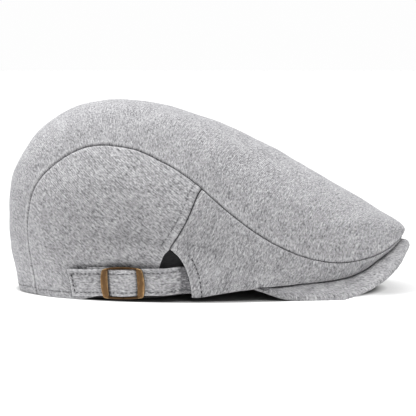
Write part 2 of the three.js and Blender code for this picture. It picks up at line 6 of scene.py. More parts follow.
import bpy
import numpy as np
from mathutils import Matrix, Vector


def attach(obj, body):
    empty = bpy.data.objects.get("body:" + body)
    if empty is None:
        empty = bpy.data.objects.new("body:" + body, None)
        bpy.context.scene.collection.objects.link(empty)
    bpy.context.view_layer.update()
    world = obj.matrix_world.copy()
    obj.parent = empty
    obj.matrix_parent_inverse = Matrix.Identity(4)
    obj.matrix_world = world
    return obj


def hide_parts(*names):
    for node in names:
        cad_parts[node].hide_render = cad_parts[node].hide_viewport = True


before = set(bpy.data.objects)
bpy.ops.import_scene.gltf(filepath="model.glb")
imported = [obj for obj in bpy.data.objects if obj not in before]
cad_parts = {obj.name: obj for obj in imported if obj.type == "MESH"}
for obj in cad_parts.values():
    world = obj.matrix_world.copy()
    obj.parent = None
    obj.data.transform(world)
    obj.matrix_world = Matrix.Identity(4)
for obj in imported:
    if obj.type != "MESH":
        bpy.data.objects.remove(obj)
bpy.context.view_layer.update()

# ---------------------------------------------------------------- the crown's form, as the solids have it
CAP_LENGTH = 280.0
CROWN_HEIGHT = 131.3
RIM_WIDTH = 165.0
WALL = 2.0
BELLY_LEAN = 0.16
BRIM_THICKNESS = 4.5
BRIM_TIP_HEIGHT = 28.0
BRIM_PITCH = 0.11
BRIM_CURVE = 1.75
BRIM_LIP = 8.5
BRIM_END_THICKNESS = 2.6
BRIM_END_LIFT = 4.5
BRIM_END_LENGTH = 48.0
FOREHEAD_SETBACK = 65.0
BAND_HEIGHT = 34.0
BAND_RECESS = 1.5
ARCH_WIDTH = 25.0
ARCH_HEIGHT = 34.0
STRAP_WIDTH = 18.0
STRAP_THICKNESS = 1.4
STRAP_END_X = -88.5
STRAP_END_HEIGHT = 12.0
STRAP_RISE = 2.4
STRAP_TUCK = 10.0
BUCKLE_X = -55.6
BUCKLE_LENGTH = 29.6
BUCKLE_HEIGHT = 21.8
BUCKLE_SIDE_BAR = 4.9
BUCKLE_RAIL = 1.5
BUCKLE_THICKNESS = 1.6
BUCKLE_BOW = 1.3
CENTRE_BAR_WIDTH = 3.0
CENTRE_BAR_THICKNESS = 0.9
CLEARANCE = 0.3

# ---------------------------------------------------------------- what the looks add to the solids, in mm
MM = 0.001
UP = (0, 0, 1)
CLOTH = 1.8
SEAM_GAP = 0.2
EDGE_FOLD = 1.3
HEM_FOOT = 4.0
HEM_ROW = 4.7
SPLIT_ROW = 5.6
ARCH_ROW = 6.6
ARCH_ROUNDING = 1.06
STITCH_PITCH = 3.1
STRAP_ROWS = (3.0, STRAP_WIDTH - 2.6)
STRAP_END_ROW = 2.4
STRAP_PITCH = 3.0
LOOP_START_X = -77.5
LOOP_LENGTH = 13.5
LOOP_LIFT = 1.1
TACK_HEIGHT = 45.5
TACK_STITCHES = 5
BAND_ROWS = (26.0, 2.6)
BAND_PITCH = 3.2
BAND_THICKNESS = 1.3
# Each stitch's length, the radius of its thread and how deep it is drawn into the cloth
SEAM_STITCH = (1.5, 0.30, 0.30)
HEM_STITCH = (1.7, 0.30, 0.28)
ARCH_STITCH = (1.9, 0.42, 0.38)
STRAP_STITCH = (1.9, 0.30, 0.22)
STRAP_END_STITCH = (1.9, 0.42, 0.30)
BAND_STITCH = (2.3, 0.28, 0.12)
TACK_STITCH = (3.0, 0.28, 0.1)
# The random ripples of the two sides start this far along, so that they differ
SIDE_SHIFT = 31.0
# How far the underside of the peak's edge is raised near the tip
EDGE_RAISE = 3.65
# How far the buckle's rails fall off towards its corners, as a share of its half height
RAIL_ARC = 0.19
KNIT_WALE = 1.15
KNIT_COURSE = 1.0

# ---------------------------------------------------------------- looks
# How far each cloth's streaks are turned from its pattern, in degrees
GRAIN = {"top": -72, "rear": -38, "front": 58, "brim": 70, "strap": 8}
BRASS_TONES = ((0.055, 0.031, 0.015), (0.165, 0.096, 0.045), (0.42, 0.28, 0.14))
DOME_OVERHEAD = 5.6
DOME_AROUND = 0.10

# ---------------------------------------------------------------- the camera and the floor
# Distances in metres, the focal length and the frame in the photo's pixels, the sensor in mm
ELEVATION = math.radians(4.5)
DISTANCE = 1.300
FOCAL_PIXELS = 1860.0
FRAME_PIXELS = 416.0
SENSOR = 36.0
FLOOR_REACH = 30.0

# Sections from the back to the front: the crown's middle, the panel seam and the lower edge. x is a share of
# the length, y of half the rim's width, z of the height.
SECTION_COLUMNS = ("mid_x", "mid_z", "seam_x", "seam_y", "seam_z", "edge_x", "edge_y", "rise", "lip")
SECTIONS = np.array([
    (-0.4695, 0.0, -0.416, 0.521, 0.0, -0.416, 0.521, 0, 0),
    (-0.4895, 0.209, -0.4315, 0.57, 0.215, -0.384, 0.655, 0, 0),
    (-0.4965, 0.388, -0.434, 0.62, 0.392, -0.346, 0.758, 0, 0),
    (-0.4915, 0.55, -0.421, 0.665, 0.535, -0.311, 0.83, 0, 0),
    (-0.47, 0.69, -0.386, 0.7, 0.651, -0.273, 0.888, 0, 0),
    (-0.419, 0.84, -0.326, 0.73, 0.746, -0.23, 0.939, 0, 0),
    (-0.321, 0.967, -0.25, 0.76, 0.782, -0.179, 0.976, 0, 0),
    (-0.196, 1.0, -0.166, 0.8, 0.752, -0.118, 0.996, 0.1, 0),
    (-0.079, 0.953, -0.08, 0.86, 0.665, -0.054, 0.999, 0.32, 0),
    (0.032, 0.874, 0.004, 0.915, 0.527, 0.018, 0.982, 0.68, -0.2),
    (0.121, 0.7835, 0.08, 0.94, 0.392, 0.096, 0.949, 0.97, -0.36),
    (0.2, 0.6965, 0.152, 0.93, 0.292, 0.168, 0.921, 1, 0.12),
    (0.271, 0.6115, 0.22, 0.895, 0.226, 0.232, 0.879, 1, 0.45),
    (0.336, 0.532, 0.284, 0.846, 0.191, 0.293, 0.821, 1, 0.8),
    (0.389, 0.4635, 0.341, 0.775, 0.188, 0.346, 0.755, 1, 1.05),
    (0.429, 0.4065, 0.391, 0.65, 0.204, 0.391, 0.66, 1, 1.05),
    (0.46, 0.3715, 0.429, 0.505, 0.228, 0.429, 0.53, 1, 0.85),
    (0.483, 0.337, 0.46, 0.325, 0.258, 0.459, 0.355, 1, 0.65),
    (0.489, 0.307, 0.477, 0.162, 0.276, 0.475, 0.175, 1, 0.6),
    (0.482, 0.278, 0.482, 0.0, 0.278, 0.48, 0.0, 1, 0.66),
])
FRONT = len(SECTIONS) - 1
TEMPLE = 10
SEAM_FOOT = 0.02
SPLIT_TOP = 8.75
ARCH_APEX = 7.53
ARCH_MIDDLE = 7.5
SPLIT_BEND = 1.17


def spline_through(values):
    """A natural cubic spline through values that stand at 0, 1, 2 and so on."""
    values = np.asarray(values, float)
    last = len(values) - 1
    bends = np.zeros(len(values))
    ratios = np.zeros(len(values))
    for i in range(1, last):
        pivot = 4 - ratios[i - 1]
        ratios[i] = 1 / pivot
        bends[i] = (6 * (values[i + 1] - 2 * values[i] + values[i - 1]) - bends[i - 1]) / pivot
    for i in range(last - 1, 0, -1):
        bends[i] -= ratios[i] * bends[i + 1]

    def at_rows(at):
        at = np.asarray(at, float)
        i = np.clip(np.floor(at).astype(int), 0, last - 1)
        after = at - i
        before = 1 - after
        return (before * values[i] + after * values[i + 1]
                + ((before**3 - before) * bends[i] + (after**3 - after) * bends[i + 1]) / 6)

    return at_rows


def section_column(index, other_half):
    values = list(SECTIONS[:, index])
    if other_half:
        values += [other_half * values[i] for i in range(FRONT - 1, FRONT - 4, -1)]
    return spline_through(values)


OTHER_HALF = {"mid_x": 0, "mid_z": 0, "seam_y": -1, "edge_y": -1}
COLUMN = {name: section_column(i, OTHER_HALF.get(name, 1)) for i, name in enumerate(SECTION_COLUMNS)}


def smooth(x, low, high):
    share = np.clip((np.asarray(x, float) - low) / (high - low), 0, 1)
    return share * share * (3 - 2 * share)


def unit(v):
    return v / np.maximum(np.linalg.norm(v, axis=-1, keepdims=True), 1e-12)


def run_lengths(line):
    """The length along a line (..., n, 2 or 3) at each of its points."""
    steps = np.linalg.norm(np.diff(line, axis=-2), axis=-1)
    return np.concatenate([np.zeros(steps.shape[:-1] + (1,)), np.cumsum(steps, axis=-1)], axis=-1)


def mix(a, b, share):
    return a + (b - a) * share


def edge_plan(at):
    return np.stack([COLUMN["edge_x"](at) * CAP_LENGTH, -COLUMN["edge_y"](at) * RIM_WIDTH / 2], -1)


def edge_outward(at):
    at = np.asarray(at, float)
    along = unit(edge_plan(at + 0.02) - edge_plan(np.maximum(at - 0.02, 0)))
    return np.stack([along[..., 1], -along[..., 0]], -1)


def brim_outline(at):
    return edge_plan(at) + edge_outward(at) * (COLUMN["lip"](at) * BRIM_LIP)[..., None]


BRIM_TIP_X = brim_outline(np.array(float(FRONT)))[0]
TEMPLE_X = edge_plan(np.array(float(TEMPLE)))[0]


def brim_end(x):
    return np.clip((TEMPLE_X + BRIM_END_LENGTH - x) / BRIM_END_LENGTH, 0, 1.1)


def brim_ridge(x):
    return BRIM_TIP_HEIGHT + BRIM_PITCH * (BRIM_TIP_X - x) + BRIM_END_LIFT * brim_end(x) ** 2


def find_brim_arch():
    at = np.arange(TEMPLE, FRONT - 1, 0.05)
    lowest = brim_outline(at) - edge_outward(at) * BRIM_THICKNESS / 2
    return float(np.min(brim_ridge(lowest[:, 0]) / np.abs(lowest[:, 1]) ** BRIM_CURVE))


BRIM_ARCH = find_brim_arch()


def brim_underside(x, y):
    return brim_ridge(x) - BRIM_ARCH * np.abs(y) ** BRIM_CURVE


def brim_top(x, y):
    slope = BRIM_CURVE * BRIM_ARCH * np.abs(y) ** (BRIM_CURVE - 1)
    thickness = BRIM_THICKNESS + (BRIM_END_THICKNESS - BRIM_THICKNESS) * brim_end(x)
    return brim_underside(x, y) + thickness * np.hypot(1, slope)


def section_at(at):
    """Points and directions that shape the sections of the crown's right half."""
    at = np.asarray(at, float)
    zero = np.zeros_like(at)
    mid = np.stack([COLUMN["mid_x"](at) * CAP_LENGTH, zero, COLUMN["mid_z"](at) * CROWN_HEIGHT], -1)
    seam = np.stack([COLUMN["seam_x"](at) * CAP_LENGTH, -COLUMN["seam_y"](at) * RIM_WIDTH / 2,
                     COLUMN["seam_z"](at) * CROWN_HEIGHT], -1)
    plan = edge_plan(at)
    seat = brim_top(plan[..., 0], plan[..., 1]) + CLEARANCE
    edge = np.stack([plan[..., 0], plan[..., 1], np.maximum(COLUMN["rise"](at), 0) * seat], -1)
    over, down = seam - mid, edge - seam
    over_length = np.linalg.norm(over, axis=-1)
    down_length = np.linalg.norm(down, axis=-1)
    outward = edge_outward(at)
    rimward = np.stack([-outward[..., 1], outward[..., 0], zero], -1)
    crossing = (unit(over) * (down_length**0.4 + 1e-6)[..., None]
                + unit(down) * (over_length**0.4 + 1e-6)[..., None])
    crossing = unit(mix(unit(crossing), rimward, (1 - smooth(at, 0, 1.2))[..., None]))
    return mid, seam, edge, outward, crossing, over_length, down_length


def top_controls(at):
    mid, seam, _, _, crossing, over_length, _ = section_at(at)
    shoulder = mid + 0.6 * seam * (0, 1, 0)
    return np.stack([mid, shoulder, seam - crossing * (0.36 * over_length)[..., None], seam], -2)


def side_controls(at):
    _, seam, edge, outward, crossing, _, down_length = section_at(at)
    reach = 0.42 * down_length
    fall = smooth(at, TEMPLE - 2, TEMPLE + 2)
    lean = mix(BELLY_LEAN, 0, fall) * reach
    foot = edge + np.stack([outward[..., 0] * lean, outward[..., 1] * lean, reach], -1)
    haunch = seam + crossing * (reach * mix(1, 0.6, fall))[..., None]
    return np.stack([edge, foot, haunch, seam], -2)


def bezier(controls, t):
    """Points of curves: controls (..., 4, 3) and t (...) of the same leading shape."""
    t = t[..., None]
    r = 1 - t
    return (controls[..., 0, :] * r**3 + controls[..., 1, :] * 3 * r * r * t
            + controls[..., 2, :] * 3 * r * t * t + controls[..., 3, :] * t**3)


CURVE_STEPS = np.linspace(0, 1, 49)


def curve_samples(controls):
    return bezier(controls[..., None, :, :], np.broadcast_to(CURVE_STEPS, controls.shape[:-2] + (49,)))


def curve_lengths(controls):
    return run_lengths(curve_samples(controls))


def rows_interp(wanted, known, values):
    """np.interp for each row of arrays: wanted (n, m), known (n, k) rising, values (k,) or (n, k)."""
    out = np.empty_like(wanted)
    for i in range(len(wanted)):
        out[i] = np.interp(wanted[i], known[i], values if values.ndim == 1 else values[i])
    return out


def along_curves(controls, share):
    """Points at shares (n, m) of the lengths of the curves controls (n, 4, 3), and the lengths (n,)."""
    lengths = curve_lengths(controls)
    t = rows_interp(share * lengths[:, -1:], lengths, CURVE_STEPS)
    return bezier(controls[:, None], t), lengths[:, -1]


def side_points(at, share):
    """Points of the crown's right side, at and share of any one shape."""
    shape = at.shape
    controls = side_controls(at.ravel())
    points, _ = along_curves(controls, share.reshape(-1, 1))
    return points.reshape(shape + (3,))


def side_at_height(at, z):
    """Points of the crown's right side at heights z (n, m) of the rows at (n,)."""
    controls = side_controls(at)
    samples = curve_samples(controls)
    t = rows_interp(z, samples[..., 2], CURVE_STEPS)
    return bezier(controls[:, None], t)


def side_frame(at, z):
    """Points and outward normals of the right side, for at (n,) and z (n, m)."""
    point = side_at_height(at, z)
    along = side_at_height(at + 0.05, z) - side_at_height(at - 0.05, z)
    up = side_at_height(at, z + 1) - side_at_height(at, z - 1)
    return point, unit(np.cross(along, up))


def row_at_x(x):
    rows = np.linspace(0, FRONT, 4001)
    return float(np.interp(x, COLUMN["edge_x"](rows) * CAP_LENGTH, rows))


ROW_PITCH = float(run_lengths(edge_plan(ARCH_MIDDLE + np.array([-0.5, 0.5])))[-1])
ARCH_HALF = ARCH_WIDTH / 2 / ROW_PITCH
ARCH_SHARE = ARCH_HEIGHT / float(curve_lengths(side_controls(np.array([ARCH_APEX])))[0, -1])


def split_at(share):
    up = np.clip((share - ARCH_SHARE) / (1 - ARCH_SHARE), 0, 1)
    return mix(ARCH_APEX, SPLIT_TOP, up) + SPLIT_BEND * up * (1 - up) ** 1.5


def split_edge(share, foot, power):
    """The edge of a side panel along the split and, where it has a foot, down the arch to it."""
    low = ARCH_APEX if foot is None else foot + (ARCH_APEX - foot) * (share / ARCH_SHARE) ** power
    return np.where(share < ARCH_SHARE, low, split_at(share))


def rear_edge(share):
    return split_edge(share, ARCH_MIDDLE - ARCH_HALF, 1.8)


def front_edge(share):
    return split_edge(share, ARCH_MIDDLE + ARCH_HALF, 2.6)


def arch_edges(share):
    """The arch as worn cloth shows it: the same width as in the solids, with a rounded top."""
    middle = (rear_edge(share) + front_edge(share)) / 2
    half = ARCH_HALF * np.sqrt(np.clip(1 - (np.clip(share / ARCH_SHARE, 0, 1) * ARCH_ROUNDING) ** 1.32, 0, 1))
    return middle - half, middle + half


def closed_edge(share):
    """The seam between the two panels of the closed side, bent softly where the solids have a corner."""
    shifts = np.linspace(-0.16, 0.16, 17)
    return np.mean([split_edge(np.clip(share + shift, 0, 1), None, 1) for shift in shifts], axis=0)


# ---------------------------------------------------------------- small helpers for cloth in code
def waves(places, wavelength, seed, count=20):
    """A smooth random field of about unit size over places (..., d), with waves near one length."""
    places = np.asarray(places, float)
    chance = np.random.RandomState(seed)
    dims = places.shape[-1]
    total = np.zeros(places.shape[:-1])
    for _ in range(count):
        direction = chance.normal(size=dims)
        direction /= np.linalg.norm(direction)
        k = 2 * math.pi / (wavelength * chance.uniform(0.7, 1.5))
        total += np.cos(places @ (direction * k) + chance.uniform(0, 2 * math.pi))
    return total / math.sqrt(count / 2)


def bump(x, centre, width):
    return np.exp(-(((x - centre) / width) ** 2))


def graded_from(total, ends, fine, coarse, growth=1.25):
    """Rising places from 0 to total, with steps of fine up to ends that then grow to coarse."""
    places = [0.0]
    step = fine
    while places[-1] < total:
        if places[-1] > ends:
            step = min(step * growth, coarse)
        places.append(places[-1] + step)
    return np.array(places) * (total / places[-1])


def graded(total, ends, fine, coarse, growth=1.25):
    """The same with the fine steps at both ends."""
    half = graded_from(total / 2, ends, fine, coarse, growth)
    return np.concatenate([half, total - half[-2::-1]])


def grid_normals(grid, cell, toward):
    """Unit normals of a grid (n, m, 3), turned so that the one at a cell points toward a direction."""
    normal = np.cross(np.gradient(grid, axis=1), np.gradient(grid, axis=0))
    size = np.linalg.norm(normal, axis=-1, keepdims=True)
    normal = normal / np.maximum(size, 1e-12)
    for i, j in np.argwhere(size[..., 0] < 1e-6):
        near = normal[max(i - 1, 0):i + 2, max(j - 1, 0):j + 2].reshape(-1, 3).sum(0)
        normal[i, j] = near / max(np.linalg.norm(near), 1e-9)
    return -normal if normal[cell] @ toward < 0 else normal


def near_line(points, line):
    """Distance of points (..., 3) to a polyline (k, 3), and the length along it at the nearest place."""
    shape = points.shape[:-1]
    flat = points.reshape(-1, 3)
    ends = np.diff(line, axis=0)
    starts = run_lengths(line)
    best = np.full(len(flat), np.inf)
    along = np.zeros(len(flat))
    for a, e, size, start in zip(line[:-1], ends, np.diff(starts), starts):
        if size < 1e-9:
            continue
        share = np.clip((flat - a) @ e / size**2, 0, 1)
        gap = np.linalg.norm(flat - a - share[:, None] * e, axis=1)
        nearer = gap < best
        best[nearer] = gap[nearer]
        along[nearer] = (start + share * size)[nearer]
    return best.reshape(shape), along.reshape(shape)


COLLECTION = bpy.context.scene.collection


def make_mesh(name, points, faces, material, uv=None, tone=None):
    """A closed mesh from points in mm and quads or triangles, with coinciding points merged. The tone of a
    point makes its material darker or lighter there: on the cloth it paints highlights along folded edges and
    shade into seams and creases, on the brass it marks wear and paints shade on the rails."""
    points = np.asarray(points, float)
    _, first, back = np.unique(np.round(points, 3), axis=0, return_index=True, return_inverse=True)
    back = back.ravel().tolist()
    kept, sources = [], []
    for face in np.asarray(faces, int).tolist():
        corners = {}
        for source in face:
            corners.setdefault(back[source], source)
        if len(corners) > 2:
            kept.append(list(corners))
            sources.append(list(corners.values()))
    vertices = points[first]
    triangles = np.array([(f[0], f[i], f[i + 1]) for f in kept for i in range(1, len(f) - 1)])
    a, b, c = (vertices[triangles[:, k]] for k in range(3))
    if np.einsum("ij,ij->i", a, np.cross(b, c)).sum() < 0:
        kept = [f[::-1] for f in kept]
        sources = [f[::-1] for f in sources]
    mesh = bpy.data.meshes.new(name)
    mesh.from_pydata((vertices * MM).tolist(), [], kept)
    mesh.polygons.foreach_set("use_smooth", [True] * len(mesh.polygons))
    if uv is not None:
        layer = mesh.uv_layers.new(name="weave")
        order = np.array([i for f in sources for i in f])
        layer.data.foreach_set("uv", np.asarray(uv, float).reshape(-1, 2)[order].astype(np.float32).ravel())
    if tone is not None:
        shade = mesh.attributes.new("tone", "FLOAT", "POINT")
        shade.data.foreach_set("value", np.asarray(tone, float).ravel()[first].astype(np.float32))
    mesh.materials.append(material)
    mesh.update()
    piece = bpy.data.objects.new(name, mesh)
    COLLECTION.objects.link(piece)
    return piece


def quads(*corners):
    return np.stack([corner.ravel() for corner in corners], -1)


def layer_faces(rows, across):
    """Quads of a shell between an outer and an inner grid of rows by across points."""
    out, ins = np.arange(2 * rows * across).reshape(2, rows, across)
    return np.concatenate([
        quads(out[:-1, :-1], out[:-1, 1:], out[1:, 1:], out[1:, :-1]),
        quads(ins[:-1, :-1], ins[1:, :-1], ins[1:, 1:], ins[:-1, 1:]),
        quads(out[0, 1:], out[0, :-1], ins[0, :-1], ins[0, 1:]),
        quads(ins[-1, 1:], ins[-1, :-1], out[-1, :-1], out[-1, 1:]),
        quads(out[:-1, 0], out[1:, 0], ins[1:, 0], ins[:-1, 0]),
        quads(ins[:-1, -1], ins[1:, -1], out[1:, -1], out[:-1, -1])])


def tube_faces(rows, across, ring=True):
    """Quads of a grid that closes on itself across, and along its rows too where it is a ring."""
    index = np.arange(rows * across).reshape(rows, across)
    here, ahead = (index, np.roll(index, -1, 0)) if ring else (index[:-1], index[1:])
    return quads(here, ahead, np.roll(ahead, -1, 1), np.roll(here, -1, 1))


def shell(name, outer, inner, material, uv, tone=None):
    points = np.concatenate([outer.reshape(-1, 3), inner.reshape(-1, 3)])
    if tone is not None:
        tone = np.concatenate([tone.ravel(), 0 * tone.ravel()])
    return make_mesh(name, points, layer_faces(*outer.shape[:2]), material,
                     np.concatenate([uv.reshape(-1, 2)] * 2), tone)


def turned(uv, degrees):
    """UV places turned, so that the first axis runs along the cloth's streaks."""
    angle = math.radians(degrees)
    c, s = math.cos(angle), math.sin(angle)
    return np.stack([uv[..., 0] * c + uv[..., 1] * s, -uv[..., 0] * s + uv[..., 1] * c], -1)


def mirror(points):
    return points * np.array([1.0, -1.0, 1.0])


def paired(a, b):
    """Two fields put together as places, each stretched to the shape of both."""
    return np.stack(np.broadcast_arrays(a, b), -1)


# ---------------------------------------------------------------- materials
class Nodes:
    """A node tree, with short calls that give back an output socket."""

    def __init__(self, owner):
        owner.use_nodes = True
        self.tree = owner.node_tree
        self.tree.nodes.clear()

    def feed(self, made, inputs):
        """Link sockets to a node's inputs and set the numbers and colours on them."""
        for key, value in dict(inputs).items():
            if isinstance(value, bpy.types.NodeSocket):
                self.tree.links.new(value, made.inputs[key])
            else:
                made.inputs[key].default_value = value

    def make(self, kind, inputs=(), **settings):
        made = self.tree.nodes.new("ShaderNode" + kind)
        for key, value in settings.items():
            setattr(made, key, value)
        self.feed(made, inputs)
        return made

    def out(self, kind, inputs=(), which=0, **settings):
        return self.make(kind, inputs, **settings).outputs[which]

    def maths(self, operation, *values):
        return self.out("Math", enumerate(values), operation=operation)

    def add(self, *values):
        total = values[0]
        for value in values[1:]:
            total = self.maths("ADD", total, value)
        return total

    def times(self, a, b):
        return self.maths("MULTIPLY", a, b)

    def vector(self, operation, place, by):
        return self.out("VectorMath", {0: place, 1: by}, operation=operation)

    def ranged(self, value, low, high, to_low=0.0, to_high=1.0, **settings):
        return self.out("MapRange", {"Value": value, "From Min": low, "From Max": high, "To Min": to_low,
                                     "To Max": to_high}, "Result", **settings)

    def distance(self, centre, half_x, half_y):
        """How far a place of the floor lies from a centre, as a share of an ellipse's half axes, mm."""
        place = self.vector("SUBTRACT", self.out("TexCoord", which="Object"), centre)
        place = self.vector("MULTIPLY", place, (1 / (half_x * MM), 1 / (half_y * MM), 0.0))
        return place, self.out("VectorMath", {0: place}, "Value", operation="LENGTH")

    def two_tone(self, share, dark, light):
        """A colour between two. The mix node's sockets share their names, so their type tells them apart."""
        made = self.make("Mix", {"Factor": share}, data_type="RGBA")
        ends = [socket for socket in made.inputs if socket.type == "RGBA"]
        for socket, colour in zip(ends, (dark, light)):
            socket.default_value = (*colour, 1)
        return next(socket for socket in made.outputs if socket.type == "RGBA")

    def streaks(self, place, along, across, detail, rough=0.5, shift=0.0):
        """Noise drawn out along the cloth's streaks, to a length and width in mm."""
        place = self.vector("MULTIPLY", place, (1 / (along * MM), 1 / (across * MM), 1))
        place = self.vector("ADD", place, (shift, shift * 0.7, 0))
        return self.out("TexNoise", {"Vector": place, "Scale": 1.0, "Detail": detail, "Roughness": rough})


def new_material(name):
    material = bpy.data.materials.new(name)
    nodes = Nodes(material)
    shader = nodes.make("BsdfPrincipled")
    nodes.make("OutputMaterial", {0: shader.outputs[0]})
    return material, nodes, shader


def heather_material(name, dark, light, contrast=0.62):
    """Brushed jersey in marled greys: drawn-out fibres, slubs, soft clouds of tone and a fine knit."""
    material, nodes, shader = new_material(name)
    add, times, maths, streaks = nodes.add, nodes.times, nodes.maths, nodes.streaks
    place = nodes.out("UVMap", uv_map="weave")
    long_fibres = streaks(place, 3.3, 1.35, 1.0)
    short_fibres = streaks(place, 1.7, 0.95, 1.0, shift=17.3)
    clouds = streaks(place, 13.0, 9.0, 2.0, shift=5.1)
    slubs = streaks(place, 3.4, 1.0, 0.0, shift=41.7)
    pepper = streaks(place, 1.9, 0.9, 0.0, shift=77.7)

    parts = [maths("MULTIPLY_ADD", noise, strength * contrast, -strength / 2 * contrast)
             for noise, strength in ((long_fibres, 1.7), (short_fibres, 1.9), (clouds, 0.8))]
    parts.append(nodes.ranged(slubs, 0.60, 0.72, 0.0, 0.30 * contrast))
    parts.append(nodes.ranged(pepper, 0.28, 0.40, -0.26 * contrast, 0.0))
    # The points' tone adds painted shade in seams, creases and hollows and painted highlights along folded
    # edges to the cloth's own marl.
    tone = add(*parts, 0.5, nodes.out("Attribute", which="Fac", attribute_name="tone"))

    x, y, _ = nodes.make("SeparateXYZ", {0: place}).outputs
    wale, course = times(y, 1 / (KNIT_WALE * MM)), times(x, 1 / (KNIT_COURSE * MM))
    across = maths("ABSOLUTE", maths("SUBTRACT", maths("FRACT", wale), 0.5))
    loop = maths("SINE", times(add(course, across), 2 * math.pi))
    column = maths("COSINE", times(wale, 2 * math.pi))
    height = add(times(loop, 0.3), times(column, -0.4), times(short_fibres, 1.6), times(long_fibres, 1.4))
    nodes.feed(shader, {
        "Base Color": nodes.two_tone(nodes.ranged(tone, 0.0, 1.0), dark, light),
        "Normal": nodes.out("Bump", {"Strength": 0.7, "Distance": 0.00035, "Height": height}),
        "Roughness": 0.95, "Specular IOR Level": 0.2, "Sheen Weight": 0.25, "Sheen Roughness": 0.5,
        "Sheen Tint": (0.95, 0.95, 1.0, 1)})
    return material


def twill_material(name, dark, light, pitch, roughness, sheen):
    """Plain dark lining cloth with a fine diagonal weave."""
    material, nodes, shader = new_material(name)
    add, times = nodes.add, nodes.times
    place = nodes.out("UVMap", uv_map="weave")
    fibres = nodes.streaks(place, 3.0, 0.6, 2.0)
    clouds = nodes.streaks(place, 14.0, 9.0, 1.0, shift=3.3)
    tone = add(times(fibres, 0.8), times(clouds, 0.4))
    x, y, _ = nodes.make("SeparateXYZ", {0: place}).outputs
    diagonal = times(add(x, y), 2 * math.pi / (pitch * MM))
    height = add(nodes.maths("SINE", diagonal), times(fibres, 1.5))
    nodes.feed(shader, {
        "Base Color": nodes.two_tone(nodes.ranged(tone, 0.3, 0.9), dark, light),
        "Normal": nodes.out("Bump", {"Strength": 0.5, "Distance": 0.00018, "Height": height}),
        "Roughness": roughness, "Specular IOR Level": 0.3, "Sheen Weight": sheen, "Sheen Roughness": 0.4})
    return material


def thread_material(name, colour):
    material, nodes, shader = new_material(name)
    place = nodes.out("TexCoord", which="Object")
    fuzz = nodes.out("TexNoise", {"Vector": place, "Scale": 2200.0, "Detail": 1.0})
    dark, light = ([min(c * share, 1) for c in colour] for share in (0.6, 1.4))
    nodes.feed(shader, {"Base Color": nodes.two_tone(fuzz, dark, light), "Roughness": 0.8})
    return material


def brass_material(name):
    """Antique brass: brushed along the frame, browned on its faces and worn bright along its edges, with
    painted shade darkening its rails.
    """
    material, nodes, shader = new_material(name)
    add, times = nodes.add, nodes.times
    place = nodes.out("UVMap", uv_map="weave")
    brushing = nodes.streaks(place, 6.0, 0.12, 3.0, rough=0.6)
    clouds = nodes.streaks(place, 3.0, 2.2, 3.0, shift=9.0)
    # The points' tone carries the frame's wear and the painted shade of its rails.
    worn = nodes.out("Attribute", which="Fac", attribute_name="tone")
    wear_and_rail_shade = nodes.ranged(add(worn, nodes.maths("MULTIPLY_ADD", clouds, 0.9, -0.45)), 0.15, 0.95)
    tone = add(times(brushing, 0.5), times(wear_and_rail_shade, 0.75), times(nodes.maths("MINIMUM", worn, 0.0), 0.35))
    ramp = nodes.make("ValToRGB", {"Fac": tone})
    stops = ramp.color_ramp.elements
    stops.new(0.45)
    for stop, position, colour in zip(stops, (0.12, 0.45, 0.95), BRASS_TONES):
        stop.position, stop.color = position, (*colour, 1)
    nodes.feed(shader, {
        "Base Color": ramp.outputs[0], "Roughness": nodes.ranged(brushing, 0.3, 0.7, 0.30, 0.48),
        "Normal": nodes.out("Bump", {"Strength": 0.35, "Distance": 0.00006, "Height": brushing}),
        "Metallic": 1.0})
    return material


HEATHER = heather_material("heather_jersey", (0.090, 0.0885, 0.094), (0.470, 0.4675, 0.477))
THREAD = thread_material("heather_thread", (0.075, 0.074, 0.078))
# A thread darkened to paint the shade of deeply drawn stitches.
SHADED_THREAD = thread_material("shaded_thread", (0.018, 0.017, 0.019))
LIGHT_THREAD = thread_material("light_thread", (0.42, 0.42, 0.43))
CHARCOAL = twill_material("charcoal_lining", (0.010, 0.0098, 0.011), (0.036, 0.035, 0.038), 1.1, 0.85, 0.1)
BAND_CLOTH = twill_material("charcoal_band", (0.016, 0.0155, 0.017), (0.052, 0.051, 0.054), 0.9, 0.8, 0.15)
DARK_THREAD = thread_material("dark_thread", (0.075, 0.074, 0.078))
BRASS = brass_material("antique_brass")


def dress(piece, slot, *nodes):
    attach(piece, "root")
    if nodes:
        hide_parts(*nodes)
    return piece


# ---------------------------------------------------------------- stitches
def stitch_run(line, facing, pitch, *form):
    """Stitches spread evenly along a line: their middles, normals and directions, and the form of each."""
    lengths = run_lengths(line)
    count = max(int(lengths[-1] / pitch), 1)
    wanted = (np.arange(count) + 0.5) * lengths[-1] / count

    def at(places, values):
        return np.stack([np.interp(places, lengths, values[:, k]) for k in range(3)], -1)

    return (at(wanted, line), unit(at(wanted, facing)), unit(at(wanted + 0.4, line) - at(wanted - 0.4, line)),
            *form)


def stitch_parts(place, normal, along, length, radius, sink, sides=8, rings=7):
    """Points and quads of short thread loops that dive into the cloth at both ends."""
    points, faces = [], []
    turns = 2 * math.pi * np.arange(sides) / sides
    for centre, w, u in zip(place, normal, along):
        u = unit(u - w * (u @ w))
        v = np.cross(w, u)
        base = len(points)
        for share in np.linspace(-1, 1, rings):
            ball = radius * math.sqrt(max(1 - abs(share) ** 3.0, 0.02))
            dive = -sink - 0.7 * radius * share * share
            middle = centre + u * share * length / 2 + w * (radius + dive)
            points += [middle + v * math.cos(turn) * ball + w * math.sin(turn) * ball for turn in turns]
        for start in range(base, base + (rings - 1) * sides, sides):
            for s in range(sides):
                a, b = start + s, start + (s + 1) % sides
                faces.append([a, b, b + sides, a + sides])
        first = [base + s for s in range(sides)]
        for ring in (first[::-1], [s + (rings - 1) * sides for s in first]):
            faces += [[ring[0], ring[s + 1], ring[s + 2], ring[(s + 3) % sides]]
                      for s in range(0, sides - 2, 2)]
    return points, faces


